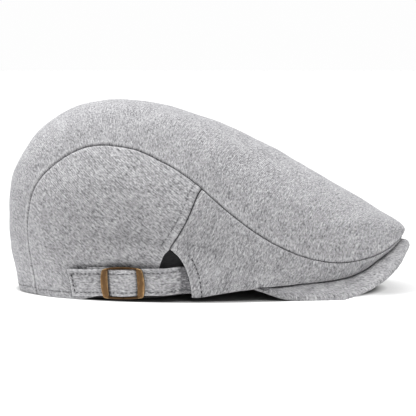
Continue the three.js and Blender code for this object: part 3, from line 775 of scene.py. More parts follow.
def stitching(name, runs, material, slot="cloth"):
    """One piece of many stitches, from runs of (place, normal, along, length, radius, sink)."""
    points, faces = [], []
    for run in runs:
        more, quads_of_run = stitch_parts(*run)
        faces += [[i + len(points) for i in quad] for quad in quads_of_run]
        points += more
    return dress(make_mesh(name, points, faces, material), slot)


def contour(panel, field, value, order, keep=None):
    """The line on a panel's grid where a field has one value along the first axis of the grid as ordered,
    and its normals, where keep says so."""
    grid, normals, values = (order(panel[key]) for key in ("outer", "normals", field))
    line, facing = [], []
    for j in range(grid.shape[1]):
        f = values[:, j]
        crossed = np.where((f[:-1] - value) * (f[1:] - value) <= 0)[0]
        if not len(crossed):
            continue
        i = crossed[0]
        share = (value - f[i]) / (f[i + 1] - f[i]) if f[i + 1] != f[i] else 0
        line.append(mix(grid[i, j], grid[i + 1, j], share))
        facing.append(mix(normals[i, j], normals[i + 1, j], share))
    line, facing = np.array(line), unit(np.array(facing))
    return (line, facing) if keep is None else (line[keep(line)], facing[keep(line)])


# ---------------------------------------------------------------- relief of the crown
STRAP_START = row_at_x(STRAP_END_X)
STRAP_FINISH = ARCH_MIDDLE + ARCH_HALF + STRAP_TUCK / ROW_PITCH


def strap_middle(at):
    return STRAP_END_HEIGHT + STRAP_RISE * (at - STRAP_START) / (STRAP_FINISH - STRAP_START)


def soft_relief(points):
    """Low swells of the worn cloth, the same for panels that meet, and none where the strap lies."""
    swell = 0.30 * waves(points, 52, 11) + 0.14 * waves(points, 24, 12) + 0.06 * waves(points, 11, 13)
    x, y, z = np.moveaxis(points, -1, 0)
    under_strap = smooth(x, -100, -92) * (1 - smooth(x, 2, 12)) * (1 - smooth(z, 23, 32)) * (y < 0)
    return swell * (1 - 0.6 * smooth(x, 60, 110)) * (1 - 0.9 * under_strap) * mix(0.35, 1, smooth(z, 0, 9))


def hem_relief(e):
    """The turned-up hem at a lower edge: a soft step at its upper end, its stitch line, a rounded edge."""
    return 0.32 * (1 - smooth(e, 7.2, 9.0)) - 0.22 * bump(e, HEM_ROW, 0.8)


def rounded(e, radius):
    """How far a folded edge falls back at a distance e from its end."""
    e = np.clip(e, 0, radius)
    return radius - np.sqrt(np.maximum(radius**2 - (radius - e) ** 2, 0))


def puckers(d, along, seed):
    """Fine ripples across a seam, at a distance d from it."""
    line = paired(along, 0.35 * d)
    return waves(line, 3.3, seed, 14) * 0.6 + waves(line, 6.5, seed + 1, 10) * 0.5


def seam_relief(d, along, over, pucker, seed):
    """A seam at a distance d: its groove, the turned edge beside it and the fine puckers across it."""
    groove = -1.05 * np.exp(-np.abs(d / 0.5) ** 1.5) - 0.16 * bump(d, 0, 1.7)
    ridge = (0.34 if over else 0.12) * bump(d, 2.6, 1.3)
    fade = np.exp(-np.maximum(d - 1.5, 0) / (6.5 if over else 4.5)) * smooth(d, 0.3, 2.2)
    return groove + ridge + pucker * puckers(d, along, seed) * fade


def seam_tone(d, along, over):
    """Painted shade down in a seam and a painted highlight on the turned edge beside it."""
    patchy = 0.75 + 0.25 * waves(paired(along, 0.0), 6.0, 23, 8)
    return -0.42 * bump(d, 0, 0.4) * patchy + (0.15 if over else 0.07) * bump(d, 1.9, 0.9)


# ---------------------------------------------------------------- top panel
def declare_sheet(piece, grid, pattern):
    """Works out the steps across and along a grid and nothing more: it declares no sheet, and the piece and
    the pattern are not used.
    """
    across, along = np.diff(grid, axis=0)[:, :-1], np.diff(grid, axis=1)[:-1]


def even_rows(start, end, spacing):
    """Rows of the table spaced evenly along the crown, from start to end."""
    fine = np.linspace(start, end, 1200)
    mid, seam = section_at(fine)[:2]
    lengths = (run_lengths(mid) + run_lengths(seam)) / 2
    return np.interp(np.linspace(0, lengths[-1], int(lengths[-1] / spacing) + 1), lengths, fine)


def top_panel():
    rows = even_rows(0.0, FRONT - 0.004, 1.2)
    # Finer rows over the first few millimetres, where the hem is folded
    foot = graded_from(HEM_FOOT, 1.2, 0.22, 1.0)
    climb = run_lengths(section_at(rows)[0])
    rows = np.concatenate([np.interp(foot[:-1], climb, rows), rows[climb > HEM_FOOT]])
    controls = top_controls(rows)
    share = 1 - graded_from(75.0, 7.0, 0.55, 2.6, 1.2)[::-1] / 75.0
    widths = curve_lengths(controls)[:, -1:]
    share = share * (1 - np.minimum(SEAM_GAP / widths, 0.3))
    right, _ = along_curves(controls, share)
    grid = np.concatenate([mirror(right[:, :0:-1]), right], axis=1)
    signed = np.concatenate([-share[:, :0:-1], share], axis=1)
    normals = grid_normals(grid, (len(rows) // 2, grid.shape[1] // 2), UP)

    e, along_seam = (run_lengths(line)[:, None] for line in section_at(rows)[:2])
    rows = rows[:, None]
    d = (1 - np.abs(signed)) * widths
    e = e + 0 * d
    along = along_seam + SIDE_SHIFT * np.sign(signed)
    back_top = mix(0.55, 1.0, bump(rows, 5.0, 2.3)) * (1 - smooth(rows, 14, 17))
    at_back = 1 - smooth(rows, 3.5, 6.5)
    relief = seam_relief(d, along, True, 0.20 * back_top, 21) * mix(0.25, 1, smooth(widths, 3, 14))
    relief -= 0.5 * np.exp(-np.abs(d / 0.8) ** 1.5) * at_back
    relief += soft_relief(grid) + hem_relief(e)
    edge = rounded(e, 1.2)
    outer = grid + normals * (relief - edge)[..., None]
    inner = grid - normals * (CLOTH - 0.6 * edge)[..., None]
    for layer in (outer, inner):
        layer[..., 2] = np.maximum(layer[..., 2], 0)
        layer[0, :, 2] = 0

    uv = paired(e, signed * widths)
    # Painted shade in the seam, stronger at the back, and in the hem's stitch row, and above the seam the
    # painted shade and highlights of its gathered puckers.
    gathered_shade = back_top * smooth(d, 2.2, 4.0) * np.exp(-np.maximum(d - 4, 0) / 8.0)
    tone = (1 + 0.5 * at_back) * seam_tone(d, along, True) - 0.22 * bump(e, HEM_ROW, 0.6)
    tone += (0.09 * puckers(d, along, 21) - 0.07) * gathered_shade
    piece = dress(shell("top_panel_cloth", outer, inner, HEATHER, turned(uv * MM, GRAIN["top"]), tone),
                  "cloth", "top_panel")
    declare_sheet(piece, grid, uv)
    return {"outer": outer, "normals": normals, "e": e}


# ---------------------------------------------------------------- side panels
def split_line(arched):
    share = np.linspace(ARCH_SHARE if arched else 0, 1, 120)
    return side_points(split_at(share) if arched else closed_edge(share), share)


def arch_line(which):
    share = ARCH_SHARE / ARCH_ROUNDING * (1 - np.linspace(1, 0, 70) ** 2)
    return side_points(arch_edges(share)[which], share)


def rim_lift(at):
    """How far the worn rim has lifted off the floor beside the arch."""
    return 3.4 * smooth(at, 3.0, 4.7) * (1 - smooth(at, 6.9, 8.1))


def temple_drop(at):
    """How far the worn lower edge hangs down in front of the arch, where it meets the peak's rear end."""
    return 2.4 * smooth(at, 7.7, 8.6) * (1 - smooth(at, 9.7, 10.5))


# How far the crown's edge is drawn in over the peak, in mm, for the table's rows from the ninth on
PEAK_TUCK = spline_through([0, 0.7, 2.5, 3.0, 2.6, 2.8, 3.7, 4.1, 4.0, 2.8, 1.5])
TUCK_FADE = 1.5
EDGE_GAP = 0.55


def peak_tuck(at):
    return np.where(at > 9, PEAK_TUCK(np.clip(at - 9, 0, 10)), 0.0)


def peak_crest(x, y):
    """The height of the peak's top, with the padding that makes it thicker along its sides."""
    return brim_top(x, y) + 0.2 + 2.3 * bump(x, 118, 14)


def front_hem_and_shade(x, z, _, d_arch, below):
    """The hem along the arch and the crease that the bar tack above it draws: relief and painted shade."""
    pull = bump(z, 40.5 - 0.42 * (x + 17), 2.6) * smooth(x, -20, -13) * (1 - smooth(x, 0, 16))
    relief = below * (0.35 * (1 - smooth(d_arch, 6.0, 7.6)) - 0.26 * bump(d_arch, ARCH_ROW, 0.8)) - 0.8 * pull
    return relief, -0.25 * bump(d_arch, ARCH_ROW, 0.5) * below - 0.10 * pull


def rear_folds_and_shade(x, z, at, d_arch, below):
    """The arch's folded edge, the hollows along the strap's top and end, and the fold higher up: relief, and
    painted shade in the fold, along the strap's top and beside its end.
    """
    zone = smooth(x, -93, -85) * (1 - smooth(x, -34, -24))
    strap_top = strap_middle(at) + STRAP_WIDTH / 2
    fold = bump(z, 42.0 - 0.06 * (x + 50), 3.2) * bump(x, -50, 22)
    relief = below * 0.3 * (1 - smooth(d_arch, 5.0, 6.5)) - 1.5 * fold
    relief += zone * (-2.0 * bump(z, strap_top + 1.0, 2.3) + 1.1 * bump(z, strap_top + 8.5, 4.5))
    relief -= bump(x, -91.6, 1.5) * (1 - smooth(z, 20.5, 24)) * smooth(z, 1.5, 4)
    relief -= 0.35 * smooth(x, -91, -88) * (1 - smooth(z, 19, 21))
    relief += 0.9 * bump(z, 48.5 - 0.06 * (x + 50), 4.5) * bump(x, -50, 24)
    shade = -0.08 * fold - 0.22 * zone * bump(z, strap_top + 0.6, 1.6)
    return relief, shade - 0.35 * bump(x, -90.6, 0.9) * (1 - smooth(z, 20.5, 22)) * smooth(z, 1.5, 4)


def from_stitch(place, first, pitch):
    """The distance along a row to its nearest stitch."""
    return np.abs((place - first + pitch / 2) % pitch - pitch / 2)


def side_panel(name, rear, right):
    tall = graded(100.0, 7.0, 0.5, 2.0, 1.22) / 100.0
    shares = np.unique(np.concatenate([tall, [0.0015, 0.003, 0.006, 0.010, 0.015]]))
    split = arch_edges(shares)[0 if rear else 1] if right else closed_edge(shares)
    if rear:
        across = 1 - graded_from(150.0, 8.0, 0.55, 1.5, 1.15)[::-1] / 150.0
        start, end = SEAM_FOOT, split - SEAM_GAP / ROW_PITCH
    else:
        across = graded_from(190.0, 9.0, 0.55, 1.5, 1.15) / 190.0
        start, end = split + SEAM_GAP / ROW_PITCH, FRONT - 0.01
    at = start + (end - start) * across[:, None]
    heights = curve_lengths(side_controls(at.ravel()))[:, -1].reshape(at.shape)
    share = shares * (1 - np.minimum(SEAM_GAP / np.maximum(heights, 0.1), 0.3))
    grid = side_points(at, share)
    e = share * heights
    grid[..., 2] += rim_lift(at) * (1 - smooth(e, 0, 16)) - temple_drop(at) * (1 - smooth(e, 0, 30))
    low = (1 - share) ** TUCK_FADE
    grid[..., :2] -= edge_outward(at) * (peak_tuck(at) * low)[..., None]
    seat = peak_crest(grid[..., 0], grid[..., 1]) - brim_top(*np.moveaxis(edge_plan(at), -1, 0))
    grid[..., 2] += smooth(at, 10.3, 11.2) * low * COLUMN["rise"](np.clip(at, 0, FRONT)) * seat
    normals = grid_normals(grid, (at.shape[0] // 2, at.shape[1] // 2), (0, -1, 0))

    d_top = (1 - share) * heights
    fine = np.linspace(0, FRONT, 900)
    along_top, along_rim = (np.interp(at, fine, run_lengths(line))
                            for line in (section_at(fine)[1], edge_plan(fine)))
    d_split, along_split = near_line(grid, split_line(right))
    shift = SIDE_SHIFT if right else -SIDE_SHIFT
    relief = seam_relief(d_top, along_top + shift, False, 0.13, 21) * smooth(heights, 2, 10)
    relief += seam_relief(d_split, along_split, rear, 0.10, 31) + soft_relief(grid if right else mirror(grid))
    edge = rounded(e, EDGE_FOLD)
    # Painted shade in the seams, stronger at the back, and painted highlights on the turned edge beside the
    # split seam and along the folded lower edge.
    tone = (1 + 0.5 * (1 - smooth(at, 3.5, 6.5))) * seam_tone(d_top, along_top, False)
    tone += seam_tone(d_split, along_split, rear) + 0.10 * (1 - smooth(e, 0.5, 1.6))
    x, z = grid[..., 0], grid[..., 2]
    if rear:
        # The hem, and the needle holes of the row beside the seam with the cloth pulled up between them. The
        # holes and the hem's stitch row get painted shade, the pulled-up cloth a painted highlight.
        holes = from_stitch(along_split, 0, STITCH_PITCH)
        above_arch = z > (ARCH_HEIGHT + 3 if right else 0)
        sewn = bump(holes, 0, 0.75) * bump(d_split, SPLIT_ROW, 0.55) * above_arch
        pulled = bump(holes, STITCH_PITCH / 2, 0.6) * bump(d_split, 5.0, 0.7) * above_arch
        relief += hem_relief(e) * smooth(heights, 2, 14) - 0.35 * sewn
        tone += 0.20 * pulled - 0.45 * sewn - 0.22 * bump(e, HEM_ROW, 0.6)
    d_arch = None
    if right:
        d_arch, _ = near_line(grid, arch_line(0 if rear else 1))
        below = smooth(ARCH_HEIGHT + 3 - z, 0, 6)
        edge = np.maximum(edge, rounded(d_arch, EDGE_FOLD))
        worn, shade = (rear_folds_and_shade if rear else front_hem_and_shade)(x, z, at, d_arch, below)
        relief += worn
        # Painted shade from the hem, the folds and the hollows, and a painted highlight along the arch's
        # folded edge.
        tone += shade + 0.30 * (1 - smooth(d_arch, 0.5, 1.6)) * below
    outer = grid + normals * (relief - edge)[..., None]
    inner = grid + normals * (np.minimum(relief + 0.9, 0) - CLOTH + 0.55 * edge)[..., None]
    for layer in (outer, inner):
        seat = np.where(at > TEMPLE + 0.3, peak_crest(layer[..., 0], layer[..., 1]) + EDGE_GAP, 0.0)
        layer[..., 2] = np.maximum(layer[..., 2], seat)

    pattern = paired(along_rim, e)
    # The rear panel's grain keeps one direction as seen from the side, the front panel's follows its edge
    slant = math.radians(20)
    upright = paired(x * math.cos(slant) - grid[..., 1] * math.sin(slant), z)
    uv = turned(upright, GRAIN["rear"]) if rear else turned(pattern, GRAIN["front"])
    if not right:
        outer, inner, normals = mirror(outer), mirror(inner), mirror(normals)
    piece = dress(shell(f"{name}_cloth", outer, inner, HEATHER, uv * MM, tone), "cloth", name)
    declare_sheet(piece, grid, pattern)
    return {"outer": outer, "normals": normals, "e": e, "at": at, "d_split": d_split, "d_arch": d_arch}


# ---------------------------------------------------------------- lining
def crown_lining():
    rows = even_rows(0.35, FRONT - 0.7, 3.0)
    controls = side_controls(rows)
    lengths = curve_lengths(controls)
    start_z = 31.5 + 5.0 * bump(rows, ARCH_MIDDLE, 0.9)
    start_z = np.where(rows > 9.0, mix(start_z, 0, smooth(rows, 9.0, 9.6)), start_z)
    low = rows_interp(start_z[:, None], curve_samples(controls)[..., 2], lengths) / lengths[:, -1:]
    low = np.clip(low, 0.12, 0.9)
    side = low + (1 - low) * np.linspace(0, 1, 26)
    side_part, _ = along_curves(controls, side)
    tucked = peak_tuck(rows)[:, None] * (1 - side) ** TUCK_FADE
    side_part[..., :2] -= edge_outward(rows)[:, None] * tucked[..., None]
    over = np.broadcast_to(1 - np.linspace(0, 1, 22)[1:], (len(rows), 21))
    half = np.concatenate([side_part, along_curves(top_controls(rows), over)[0]], axis=1)
    grid = np.concatenate([half, mirror(half[:, -2::-1])], axis=1)
    for _ in range(3):
        grid[:, 1:-1] = (grid[:, :-2] + 2 * grid[:, 1:-1] + grid[:, 2:]) / 4
    normals = grid_normals(grid, (len(rows) // 2, grid.shape[1] // 2), UP)
    loose = 0.35 * np.maximum(waves(grid, 17, 61), -0.6) + 0.2 * waves(grid, 7, 62)
    outer = grid - normals * 2.9
    inner = grid - normals * (3.5 + np.abs(loose))[..., None]
    uv = paired(run_lengths(grid[:, grid.shape[1] // 2])[:, None], run_lengths(grid))
    declare_sheet(dress(shell("crown_lining", outer, inner, CHARCOAL, uv * MM), "band"), grid, uv)


# ---------------------------------------------------------------- sweatband
def rim_plan(at):
    """Plan of the rim's right half. Rows below 0 run along the top panel's foot, from the back middle."""
    at = np.asarray(at, float)
    foot, _ = along_curves(top_controls(np.zeros(1)), np.clip(1 + at, 0, 1)[None, :])
    return np.where((at >= 0)[:, None], edge_plan(np.maximum(at, 0)), foot[0, :, :2])


def inset_plan(at, inset):
    along = unit(rim_plan(at + 0.04) - rim_plan(np.maximum(at - 0.04, -1)))
    along[at <= -1] = (0, -1)
    return rim_plan(at) - np.stack([along[:, 1], -along[:, 0]], -1) * inset


BAND_INSET = WALL + STRAP_THICKNESS + 2 * CLEARANCE
FOREHEAD_X = SECTIONS[FRONT, 5] * CAP_LENGTH - FOREHEAD_SETBACK


def band_plan(at, inset):
    at = np.asarray(at, float)
    walls = inset_plan(np.minimum(at, TEMPLE), inset)
    corner = inset_plan(np.array([float(TEMPLE)]), inset)[0]
    angle = np.clip((at - TEMPLE) / (FRONT - TEMPLE), 0, 1) * math.pi / 2
    end_x = FOREHEAD_X - (inset - BAND_INSET)
    forehead = np.stack([corner[0] + (end_x - corner[0]) * np.sin(angle), corner[1] * np.cos(angle)], -1)
    return np.where((at <= TEMPLE)[:, None], walls, forehead)


def band_loop(at, side, inset):
    plan = band_plan(at, inset)
    return plan * np.stack([np.ones_like(side), side], -1)


def sweatband():
    fine = np.linspace(-1, FRONT, 3000)
    lengths = run_lengths(band_plan(fine, BAND_INSET))
    half = np.interp(np.linspace(0, lengths[-1], 150), lengths, fine)
    at = np.concatenate([half, half[-2:0:-1]])
    side = np.concatenate([np.ones(150), -np.ones(148)])
    around = np.interp(at, fine, lengths)
    around = np.where(side > 0, around, 2 * lengths[-1] - around)
    base = band_loop(at, side, BAND_INSET)
    inward = unit(band_loop(at, side, BAND_INSET + 1.0) - base)
    rise = np.where(at > 0, np.clip(COLUMN["rise"](np.maximum(at, 0)), 0, 1), 0)
    foot = BAND_RECESS + rise * np.maximum(brim_underside(base[:, 0], base[:, 1]), 0)

    # Up the outer face, over the folded top and down the inner face, as heights and insets
    top = BAND_HEIGHT + 0.4
    turn = np.linspace(0, math.pi, 7)[1:-1]
    up = np.concatenate([[0, 0.25, 0.6], np.linspace(1.2, top - 1, 16)])
    down = np.concatenate([np.linspace(top - 1, 1.2, 22), [0.6, 0.25, 0]])
    height = np.concatenate([up, top - 0.65 + 0.65 * np.sin(turn), down])
    inset = np.concatenate([0 * up, 0.65 - 0.65 * np.cos(turn), 0 * down + BAND_THICKNESS])
    wave = waves(np.stack([np.cos(around / 22), np.sin(around / 22), around / 60], -1) * 9, 10, 71)[:, None]
    ripple = waves(paired(around, 0.0), 16, 72)[:, None]
    share = height / top
    lean = 0.35 * bump(height, 17, 9) + 0.10 * wave * share + 0.12 * ripple * (0.3 + 0.7 * share)
    lean = lean + 0.22 * bump(height, 28.5, 2.2) - 0.25 * bump(height, BAND_ROWS[0], 0.7)
    spread = inset + inset / BAND_THICKNESS * lean + 0.5 * rounded(height, 0.6) * np.where(inset == 0, 1, -1)
    grid = np.empty(spread.shape + (3,))
    grid[..., :2] = base[:, None] + inward[:, None] * spread[..., None]
    grid[..., 2] = foot[:, None] + height + 0.15 * share * wave
    piece = dress(make_mesh("sweatband_cloth", grid.reshape(-1, 3), tube_faces(*spread.shape), BAND_CLOTH,
                            paired(around[:, None], height) * MM), "band", "sweatband")

    loop = np.append(np.arange(len(at)), 0)
    facing = np.column_stack([inward, 0 * side])[loop]
    columns = [int(np.argmin(np.abs(height - row) + 10 * (inset < BAND_THICKNESS))) for row in BAND_ROWS]
    runs = [stitch_run(grid[loop, k], facing, BAND_PITCH, *BAND_STITCH) for k in columns]
    stitching("sweatband_stitching", runs, DARK_THREAD, "band")
    pattern = np.stack(np.meshgrid([0, 2 * lengths[-1]], [0, top], indexing="ij"), -1)
    declare_sheet(piece, grid[loop][:, inset < 0.1], pattern)


# ---------------------------------------------------------------- peak
def inward_of(plan, line):
    """How far places (n, 2) on the right half lie inside the crown's edge, a line (k, 2), or below 0
    outside it."""
    along = unit(np.gradient(line, axis=0))
    outward = np.stack([along[:, 1], -along[:, 0]], -1)
    away = plan[:, None] - line[None]
    closest = np.argmin((away ** 2).sum(-1), axis=1)
    index = np.arange(len(plan))
    size = np.sqrt((away[index, closest] ** 2).sum(-1))
    return -size * np.sign((away[index, closest] * outward[closest]).sum(-1))


def brim(crown_edge):
    turn = np.linspace(-1, 1, 231)[:, None]
    at = TEMPLE + (FRONT - TEMPLE) * (1 - np.abs(turn[:, 0]))
    inner = band_plan(at, BAND_INSET - CLEARANCE)
    away = brim_outline(at) - inner
    reach = np.linalg.norm(away, axis=1)[:, None]
    rounding = np.minimum(BRIM_THICKNESS / 2 / reach, 0.4)
    # Out along the top, round the edge and back along the underside, as shares of the reach and of the lift
    flat = np.unique(np.concatenate([np.linspace(0, 0.55, 9), np.linspace(0.55, 0.97, 20), [0.985, 1.0]]))
    bend = np.radians(np.linspace(90, -90, 19)[1:-1])
    lift = np.concatenate([0 * flat + 1, 0.5 + 0.5 * np.sin(bend), 0 * flat])
    place = np.concatenate([(1 - rounding) * flat, 1 - rounding + rounding * np.cos(bend),
                            (1 - rounding) * flat[::-1]], axis=1)
    from_edge = (1 - place) * reach
    x, y = np.moveaxis(inner[:, None] + away[:, None] * place[..., None], -1, 0)
    raised = EDGE_RAISE * smooth(x, 80, 106) * (1 - smooth(x, 116, 150)) * bump(from_edge, 0, 9)
    z = np.maximum(mix(brim_underside(x, y) + raised, peak_crest(x, y), lift), 0)
    grid = np.stack([x, y * np.where(turn < 0, 1.0, -1.0), z], -1)
    normals = grid_normals(grid, (len(at) // 2, 4), UP)
    outline = run_lengths(grid[:, len(lift) // 2])[:, None]
    uv = paired(outline, run_lengths(grid))

    under = lift < 0.5
    relief = 0.22 * waves(grid, 24, 51) + 0.10 * waves(grid, 9, 52)
    relief += 0.07 * waves(paired(outline, 0.3 * from_edge), 5.0, 53) * np.exp(-np.abs(from_edge - 4) / 4)
    inward = inward_of(np.stack([x, -np.abs(y)], -1).reshape(-1, 2), crown_edge).reshape(x.shape)
    # The underside has the channel of a row of stitches, with no stitches drawn in it; the top goes down
    # under the crown's edge
    channel = 0.45 * bump(from_edge, 9.0, 0.8) - 0.2 * bump(from_edge, 10.8, 1.0)
    relief = np.where(under, relief * 0.5 - channel, relief - 1.3 * smooth(inward, 0.2, 1.3))
    grid = grid + normals * (relief * (1 - smooth(np.abs(turn), 0.96, 1.0)))[..., None]
    grid[..., 2] = np.maximum(grid[..., 2], 0)
    rows, across = x.shape
    j = np.arange(across // 2)
    # The two rear ends are closed by quads between the top and the underside
    faces = np.concatenate([tube_faces(rows, across, ring=False),
                            quads(j, j + 1, across - 2 - j, across - 1 - j),
                            (rows - 1) * across + quads(j + 1, j, across - 1 - j, across - 2 - j)])
    # Painted shadow in mottled patches near the crown's edge, and painted shade on the peak's top where it
    # goes under the crown's edge.
    mottled_shadow = waves(grid, 9, 55) * 0.10 * np.exp(-np.abs(inward) / 5)
    tone = np.where(under, 0, mottled_shadow - 0.30 * smooth(inward, -0.7, 0.4))
    dress(make_mesh("brim_cloth", grid.reshape(-1, 3), faces, HEATHER, turned(uv * MM, GRAIN["brim"]), tone),
          "cloth", "brim")


# ---------------------------------------------------------------- strap and buckle
BUCKLE_ROW = row_at_x(BUCKLE_X)


def find_buckle_frame():
    at = np.array([BUCKLE_ROW])
    z = np.array([[strap_middle(BUCKLE_ROW)]])
    centre, w = side_frame(at, z)
    centre, w = centre[0, 0], w[0, 0]
    ahead = side_at_height(at + 0.3, np.array([[strap_middle(BUCKLE_ROW + 0.3)]]))[0, 0] - centre
    u = unit(ahead - w * (ahead @ w))
    return centre, u, np.cross(w, u), w


CENTRE, U, V, W = find_buckle_frame()
STRAP_OVER_BAR = CLEARANCE + CENTRE_BAR_THICKNESS + CLEARANCE
WINDOW_HALF = BUCKLE_LENGTH / 2 - BUCKLE_SIDE_BAR
STRAP_TOP_SHARE = ARCH_SHARE * (STRAP_END_HEIGHT + STRAP_RISE + STRAP_WIDTH / 2) / ARCH_HEIGHT
TUCK_FROM = float(rear_edge(np.array([STRAP_TOP_SHARE]))[0]) + 0.03
TUCK_TO = float(front_edge(np.array([STRAP_TOP_SHARE]))[0]) - 0.06


def strap_offset(at, points):
    along = np.abs((points - CENTRE) @ U)
    over = 1 - smooth(along, CENTRE_BAR_WIDTH / 2 + 0.8, WINDOW_HALF - 1.3)
    tuck = smooth(at, TUCK_FROM, TUCK_TO)
    return mix(CLEARANCE + (STRAP_OVER_BAR - CLEARANCE) * over, -WALL - CLEARANCE - STRAP_THICKNESS, tuck)


def strap_surface(at, across):
    """Points, normals and offsets of the strap for rows at (n,) and places across (m,), top to bottom."""
    z = strap_middle(at)[:, None] + STRAP_WIDTH * (0.5 - across)[None, :]
    points, normals = side_frame(at, z)
    return points, normals, strap_offset(at[:, None], points)


def find_buckle_back():
    at = np.linspace(STRAP_START, STRAP_FINISH, 49)
    points, normals, offset = strap_surface(at, np.linspace(0, 1, 5))
    outer = points + normals * (offset + STRAP_THICKNESS)[..., None] - CENTRE
    along = np.abs(outer @ U)
    inside = (along > WINDOW_HALF - 1) & (along < BUCKLE_LENGTH / 2)
    return float((outer @ W)[inside].max()) + CLEARANCE


BUCKLE_BACK = find_buckle_back()


def nearest(values, wanted):
    return int(np.argmin(np.abs(values - wanted)))


def strap():
    fine = np.linspace(STRAP_START - 1.3 / ROW_PITCH, STRAP_FINISH, 2000)
    lengths = run_lengths(side_at_height(fine, strap_middle(fine)[:, None])[:, 0])
    places = graded(lengths[-1], 3.0, 0.28, 0.5, 1.2)
    at = np.interp(places, lengths, fine)
    widths = graded(STRAP_WIDTH, 2.5, 0.26, 0.5, 1.2)
    points, normals, offset = strap_surface(at, widths / STRAP_WIDTH)
    a, b = np.broadcast_arrays(places[:, None], widths)
    edge = np.minimum.reduce([b, STRAP_WIDTH - b, a, lengths[-1] - a])
    fold = rounded(edge, 0.9)
    # The stitch rows lie in shallow channels, with a needle hole at each stitch
    relief = 0.12 * (1 - (2 * b / STRAP_WIDTH - 1) ** 2) + 0.16 * bump(edge, 1.3, 0.8)
    relief -= 0.30 * bump(from_stitch(b, STRAP_ROWS[0], STRAP_PITCH), 0, 0.55) * bump(a, STRAP_END_ROW, 0.5)
    channel = bump(a, STRAP_END_ROW, 0.65) * smooth(b, 2.2, 3.0) * smooth(STRAP_WIDTH - b, 1.8, 2.6)
    for row in STRAP_ROWS:
        channel += bump(b, row, 0.65) * smooth(a, 2.0, 2.8)
        holes = bump(from_stitch(a, STRAP_END_ROW, STRAP_PITCH), 0, 0.55)
        relief -= 0.30 * holes * bump(b, row, 0.5) * (a > 1.6)
    channel = np.clip(channel, 0, 1)
    relief += 0.05 * waves(paired(a, b), 7, 81) + 0.03 * waves(paired(a, b), 3, 82) - 0.28 * channel
    # Flat under the buckle's side bars and full between and beside them
    middle, bar_end = np.abs((points - CENTRE) @ U), BUCKLE_LENGTH / 2
    under_bars = smooth(middle, WINDOW_HALF - 1.2, WINDOW_HALF - 0.2) * (
        1 - smooth(middle, bar_end, bar_end + 1.0))
    relief = relief * (1 - under_bars) - 0.05 * under_bars
    pressed = smooth(middle, WINDOW_HALF - 2.2, WINDOW_HALF - 0.6) * (
        1 - smooth(middle, bar_end + 0.2, bar_end + 2.5))
    full = 0.6 * (1 - pressed) - 0.55 * bump(middle, WINDOW_HALF - 0.3, 0.7) + 0.5 * (1 - smooth(a, 1.0, 9.0))
    outer = points + normals * (offset + STRAP_THICKNESS + full + relief - fold)[..., None]
    inner = points + normals * (offset + 0.10 + 0.45 * fold)[..., None]
    # Painted highlights along the folded edges and on the strap's fullness in the buckle's window, and
    # painted shade in the stitch channels, along the side bars' inner edges and where the strap goes in under
    # the front panel.
    tone = 0.24 * (1 - smooth(edge, 0.4, 1.5)) - 0.10 * channel
    tone += 0.08 * (1 - smooth(middle, WINDOW_HALF - 2.5, WINDOW_HALF - 1.0))
    tone -= 0.45 * bump(middle, WINDOW_HALF - 0.2, 0.8)
    tone -= 0.42 * smooth(at, TUCK_TO - 0.17, TUCK_TO - 0.01)[:, None]
    uv = turned(paired(a, b) * MM, GRAIN["strap"])
    piece = dress(shell("strap_cloth", outer, inner, HEATHER, uv, tone), "cloth", "strap")
    sewn = places >= STRAP_END_ROW
    columns = [nearest(widths, row) for row in STRAP_ROWS]
    stitching("strap_stitching", [stitch_run(outer[sewn, j], normals[sewn, j], STRAP_PITCH, *STRAP_STITCH)
                                  for j in columns], THREAD)
    end = nearest(places, STRAP_END_ROW), slice(columns[0], columns[1] + 1)
    stitching("strap_end_stitching", [stitch_run(outer[end], normals[end], STITCH_PITCH, *STRAP_END_STITCH)],
              SHADED_THREAD)
    declare_sheet(piece, points, paired(a, b))


def strap_loop():
    """The strap's turned-back end, whose edge shows above the strap beside the buckle."""
    at = np.linspace(row_at_x(LOOP_START_X), row_at_x(LOOP_START_X + LOOP_LENGTH), 40)
    length, width = np.broadcast_arrays(np.linspace(0, LOOP_LENGTH, 40)[:, None],
                                        np.linspace(0, STRAP_WIDTH, 30))
    points, normals = side_frame(at, strap_middle(at)[:, None] + LOOP_LIFT + STRAP_WIDTH / 2 - width)
    edge = np.minimum.reduce([width, STRAP_WIDTH - width, length, LOOP_LENGTH - length])
    outer = points + normals * (0.6 - rounded(edge, 0.35))[..., None]
    pattern = paired(length, width)
    uv = turned(pattern * MM, GRAIN["strap"])
    piece = dress(shell("strap_loop", outer, points - 0.42 * normals, HEATHER, uv), "cloth")
    declare_sheet(piece, points, pattern)


def oval_ring(half_length, half_height, power, bow, arc, count):
    angle = 2 * math.pi * (np.arange(count) + 0.5) / count
    c, s = np.cos(angle), np.sin(angle)
    radius = (np.abs(c) ** power + np.abs(s) ** power) ** (-1 / power)
    u, v = half_length * radius * c, half_height * radius * s
    u = u + np.sign(u) * bow * (1 - (v / half_height) ** 2) - np.sign(u) * bow
    v = v * (1 - np.where(v > 0, arc, 0.55 * arc) * np.abs(u / half_length) ** 2.5)
    return np.stack([u, v], -1)


def block_parts(half_u, half_v, low, high, centre_v, bevel):
    """A small bar with bevelled long edges, as points in the buckle's frame and quads."""
    section = [(-half_u, low + bevel), (-half_u + bevel, low), (half_u - bevel, low), (half_u, low + bevel)]
    section += [(u, high + low - w) for u, w in section[::-1]]
    points = [(u, centre_v + end * half_v, w) for end in (-1, 1) for u, w in section]
    faces = [[k, (k + 1) % 8, 8 + (k + 1) % 8, 8 + k] for k in range(8)]
    for base in (0, 8):
        faces += [[base, base + 1, base + 2, base + 3], [base, base + 3, base + 4, base + 7],
                  [base + 4, base + 5, base + 6, base + 7]]
    return points, faces


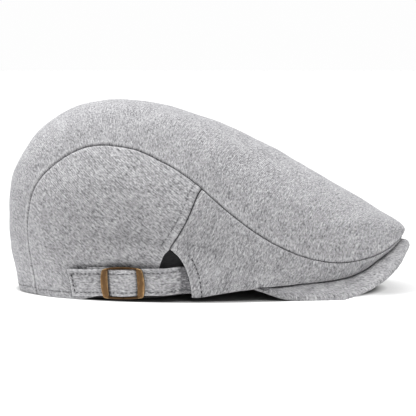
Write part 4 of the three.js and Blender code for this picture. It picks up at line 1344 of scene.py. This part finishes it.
def buckle():
    count = 240
    half_u, half_v = BUCKLE_LENGTH / 2, BUCKLE_HEIGHT / 2
    open_u, open_v = half_u - BUCKLE_SIDE_BAR, half_v - BUCKLE_RAIL
    top, bevel = BUCKLE_THICKNESS, BUCKLE_THICKNESS * 0.35

    def bevelled(share, bright, dull):
        """Rings round a bevelled edge, bright in its middle."""
        wear = (dull, dull, bright, bright, dull, dull)
        return [(share, bevel * (1 - math.cos(turn)), top - bevel * (1 - math.sin(turn)), worn_here)
                for turn, worn_here in zip(np.linspace(0, math.pi / 2, len(wear)), wear)]

    # Rings from the frame's outline (share 0) over its face to its opening (share 1), as share, inset, height
    # and wear
    rings = [(0, 0.12, 0.0, 0.1), (0, 0.0, 0.14, 0.2), (0, 0.0, top - bevel - 0.1, 0.3)]
    rings += bevelled(0, 0.75, 0.3)
    rings += [(share, bevel, top + rise, wear) for share, rise, wear in (
        (0.16, 0.02, 0.25), (0.3, 0.03, 0.0), (0.499, 0.03, 0.05), (0.7, 0.03, 0.0), (0.84, 0.02, 0.2))]
    rings += bevelled(1, 0.7, 0.1)[::-1]
    rings += [(1, 0.0, top - bevel - 0.1, 0.0), (1, 0.0, 0.14, 0.0), (1, 0.12, 0.0, 0.0)]
    points, worn = [], []
    for share, inset, height, wear in rings:
        outside, inside = (inset, 0) if share < 0.5 else (0, inset)
        outer = oval_ring(half_u - outside, half_v - outside, 22, BUCKLE_BOW - 0.1, RAIL_ARC, count)
        inner = oval_ring(open_u + inside, open_v + inside / 2, 16, 0.3, 0.03, count)
        points += np.column_stack([mix(outer, inner, share), np.full(count, height + BUCKLE_BACK)]).tolist()
        worn += [wear] * count
    faces = tube_faces(len(rings), count)[:, [0, 3, 2, 1]].tolist()
    # The centre bar, and the two feet that carry it on the rails
    blocks = [(open_v + BUCKLE_RAIL / 2, CLEARANCE, CLEARANCE + CENTRE_BAR_THICKNESS, 0.0)]
    foot_v = half_v - BUCKLE_RAIL / 2
    blocks += [(BUCKLE_RAIL * 0.3, CLEARANCE + 0.02, BUCKLE_BACK + top * 0.4, v) for v in (foot_v, -foot_v)]
    for block in blocks:
        more, sides = block_parts(CENTRE_BAR_WIDTH / 2, *block, 0.15)
        faces += [[i + len(points) for i in side] for side in sides]
        points += more
        worn += [0.1] * len(more)
    local = np.array(points)
    u, v = np.abs(local[:, 0]), np.abs(local[:, 1])
    # Brushed up and down the side bars and along the rails, which are darkened with painted shade
    on_rail = v > half_v * (1 - RAIL_ARC * (u / half_u) ** 2.5) - BUCKLE_RAIL * 1.25
    tone = np.array(worn) - 0.8 * (on_rail & (u < open_u))
    uv = np.where(on_rail[:, None], local[:, [0, 1]], local[:, [1, 0]]) * MM
    points = CENTRE + local @ np.array([U, V, W])
    dress(make_mesh("buckle_brass", points, faces, BRASS, uv, tone), "brass", "buckle")


# ---------------------------------------------------------------- the cap
top_side = top_panel()
rear_right = side_panel("rear_panel_right", True, True)
rear_left = side_panel("rear_panel_left", True, False)
front_right = side_panel("front_panel_right", False, True)
side_panel("front_panel_left", False, False)
crown_lining()
sweatband()
lip = nearest(front_right["e"][-40], 1.0)
brim(front_right["outer"][front_right["at"][:, 0] > TEMPLE + 0.2][:, lip, :2])
strap()
strap_loop()
buckle()


def as_is(grid):
    return grid


def backwards(grid):
    return grid[::-1]


def swapped(grid):
    return np.swapaxes(grid, 0, 1)


rim = contour(top_side, "e", HEM_ROW, as_is)
stitching("top_panel_stitching", [stitch_run(*rim, STITCH_PITCH, *HEM_STITCH)], THREAD)
for name, panel, lowest, foremost in (("rear_panel_right_stitching", rear_right, ARCH_HEIGHT + 4, -92.0),
                                      ("rear_panel_left_stitching", rear_left, 1.5, 100.0)):
    seam = contour(panel, "d_split", SPLIT_ROW, backwards, lambda line: line[:, 2] > lowest)
    rim = contour(panel, "e", HEM_ROW, swapped, lambda line: line[:, 0] < foremost)
    runs = [stitch_run(*seam, STITCH_PITCH, *SEAM_STITCH), stitch_run(*rim, STITCH_PITCH, *HEM_STITCH)]
    stitching(name, runs, THREAD)
arch = contour(front_right, "d_arch", ARCH_ROW, as_is,
               lambda line: (line[:, 2] < ARCH_HEIGHT - 3) & (line[:, 2] > 1.5))
stitching("front_panel_right_stitching", [stitch_run(*arch, STITCH_PITCH, *ARCH_STITCH)], SHADED_THREAD)

# A bar tack: a few close stitches across the seam just above the arch
line, facing = contour(rear_right, "d_split", 2.2, backwards)
k = nearest(line[:, 2], TACK_HEIGHT)
along = unit(line[k + 2] - line[k - 2])
spread = 0.5 * (np.arange(TACK_STITCHES) - (TACK_STITCHES - 1) / 2)
directions = [np.tile(d, (TACK_STITCHES, 1)) for d in (facing[k], unit(np.cross(facing[k], along)))]
stitching("arch_bar_tack", [(line[k] + along * spread[:, None], *directions, *TACK_STITCH)], LIGHT_THREAD)

# ---------------------------------------------------------------- floor, light and camera
scene = bpy.context.scene
scene.view_settings.view_transform = "Standard"
scene.view_settings.look = "None"
scene.view_settings.exposure = 0.0
scene.view_settings.gamma = 1.0

# The floor is dark enough for a shadow under the cap, and glows in a ring round it to stay white. Its glow is
# weaker beside the peak's tip, where the photo has a pale soft shadow.
floor_material, nodes, shader = new_material("pale_floor")
# The glow is painted light: it is left out under the cap and weakened beside the peak's tip, which paints
# shadow on the floor there.
spot, reach = nodes.distance((-0.004, 0.0, 0.0), 124.0, 82.0)
x, _, _ = nodes.make("SeparateXYZ", {0: spot}).outputs
reach = nodes.add(reach, nodes.ranged(x, 0.78, 1.0, 0.0, 0.075))
near, far = nodes.ranged(reach, 1.03, 1.12, 0.0, 1.4), nodes.ranged(reach, 1.2, 1.9, 0.0, 0.95)
glow = nodes.maths("SUBTRACT", near, far)
_, beside = nodes.distance((0.128, 0.010, 0.0), 60.0, 95.0)
pale = nodes.ranged(beside, 0.4, 1.0, 0.38, 1.0, interpolation_type="SMOOTHSTEP")
nodes.feed(shader, {"Base Color": (0.35, 0.35, 0.35, 1), "Roughness": 0.9, "Specular IOR Level": 0.1,
                    "Emission Strength": nodes.times(glow, pale), "Emission Color": (1, 1, 1, 1)})
floor_mesh = bpy.data.meshes.new("floor")
corners = [(x * FLOOR_REACH, y * FLOOR_REACH, 0) for x, y in ((-1, -1), (1, -1), (1, 1), (-1, 1))]
floor_mesh.from_pydata(corners, [], [(0, 1, 2, 3)])
floor_mesh.materials.append(floor_material)
floor = bpy.data.objects.new("floor", floor_mesh)
COLLECTION.objects.link(floor)

# A dome that is brightest overhead, and white where the camera sees it
world = bpy.data.worlds.new("studio")
scene.world = world
nodes = Nodes(world)
_, _, up = nodes.make("SeparateXYZ", {0: nodes.out("TexCoord", which="Generated")}).outputs
overhead = nodes.maths("POWER", nodes.maths("MAXIMUM", up, 0.0), 4.0)
strength = nodes.maths("MULTIPLY_ADD", overhead, DOME_OVERHEAD, DOME_AROUND)
dome = nodes.out("Background", {"Color": (1, 1, 1, 1), "Strength": strength})
white = nodes.out("Background", {"Color": (0.985, 0.985, 0.985, 1), "Strength": 1.0})
seen = nodes.out("LightPath", which="Is Camera Ray")
nodes.make("OutputWorld", {0: nodes.out("MixShader", {0: seen, 1: dome, 2: white})})

for name, place, aim, size, power in (
        ("overhead", (-0.85, 0.1, 1.1), (0, 0, 0.08), 0.9, 10.5),
        ("behind", (-1.3, 0.1, 0.35), (-0.1, 0, 0.05), 0.7, 2.2),
        ("low_front", (0.4, -1.25, 0.2), (0.05, -0.08, 0.02), 0.8, 3.4)):
    lamp = bpy.data.lights.new(name, "AREA")
    lamp.shape = "DISK"
    lamp.size = size
    lamp.energy = power
    lit = bpy.data.objects.new(name, lamp)
    COLLECTION.objects.link(lit)
    lit.location = place
    lit.rotation_euler = (Vector(aim) - Vector(place)).to_track_quat("-Z", "Y").to_euler()

camera_data = bpy.data.cameras.new("camera")
camera_data.sensor_width = SENSOR
camera_data.lens = FOCAL_PIXELS / FRAME_PIXELS * SENSOR
camera_data.clip_start = 0.01
camera_data.clip_end = 100.0
camera = bpy.data.objects.new("camera", camera_data)
COLLECTION.objects.link(camera)
camera.location = (-0.0006, -DISTANCE * math.cos(ELEVATION), 0.0556 + DISTANCE * math.sin(ELEVATION))
camera.rotation_euler = (math.pi / 2 - ELEVATION, 0.0, 0.0)
scene.camera = camera

bpy.context.view_layer.update()
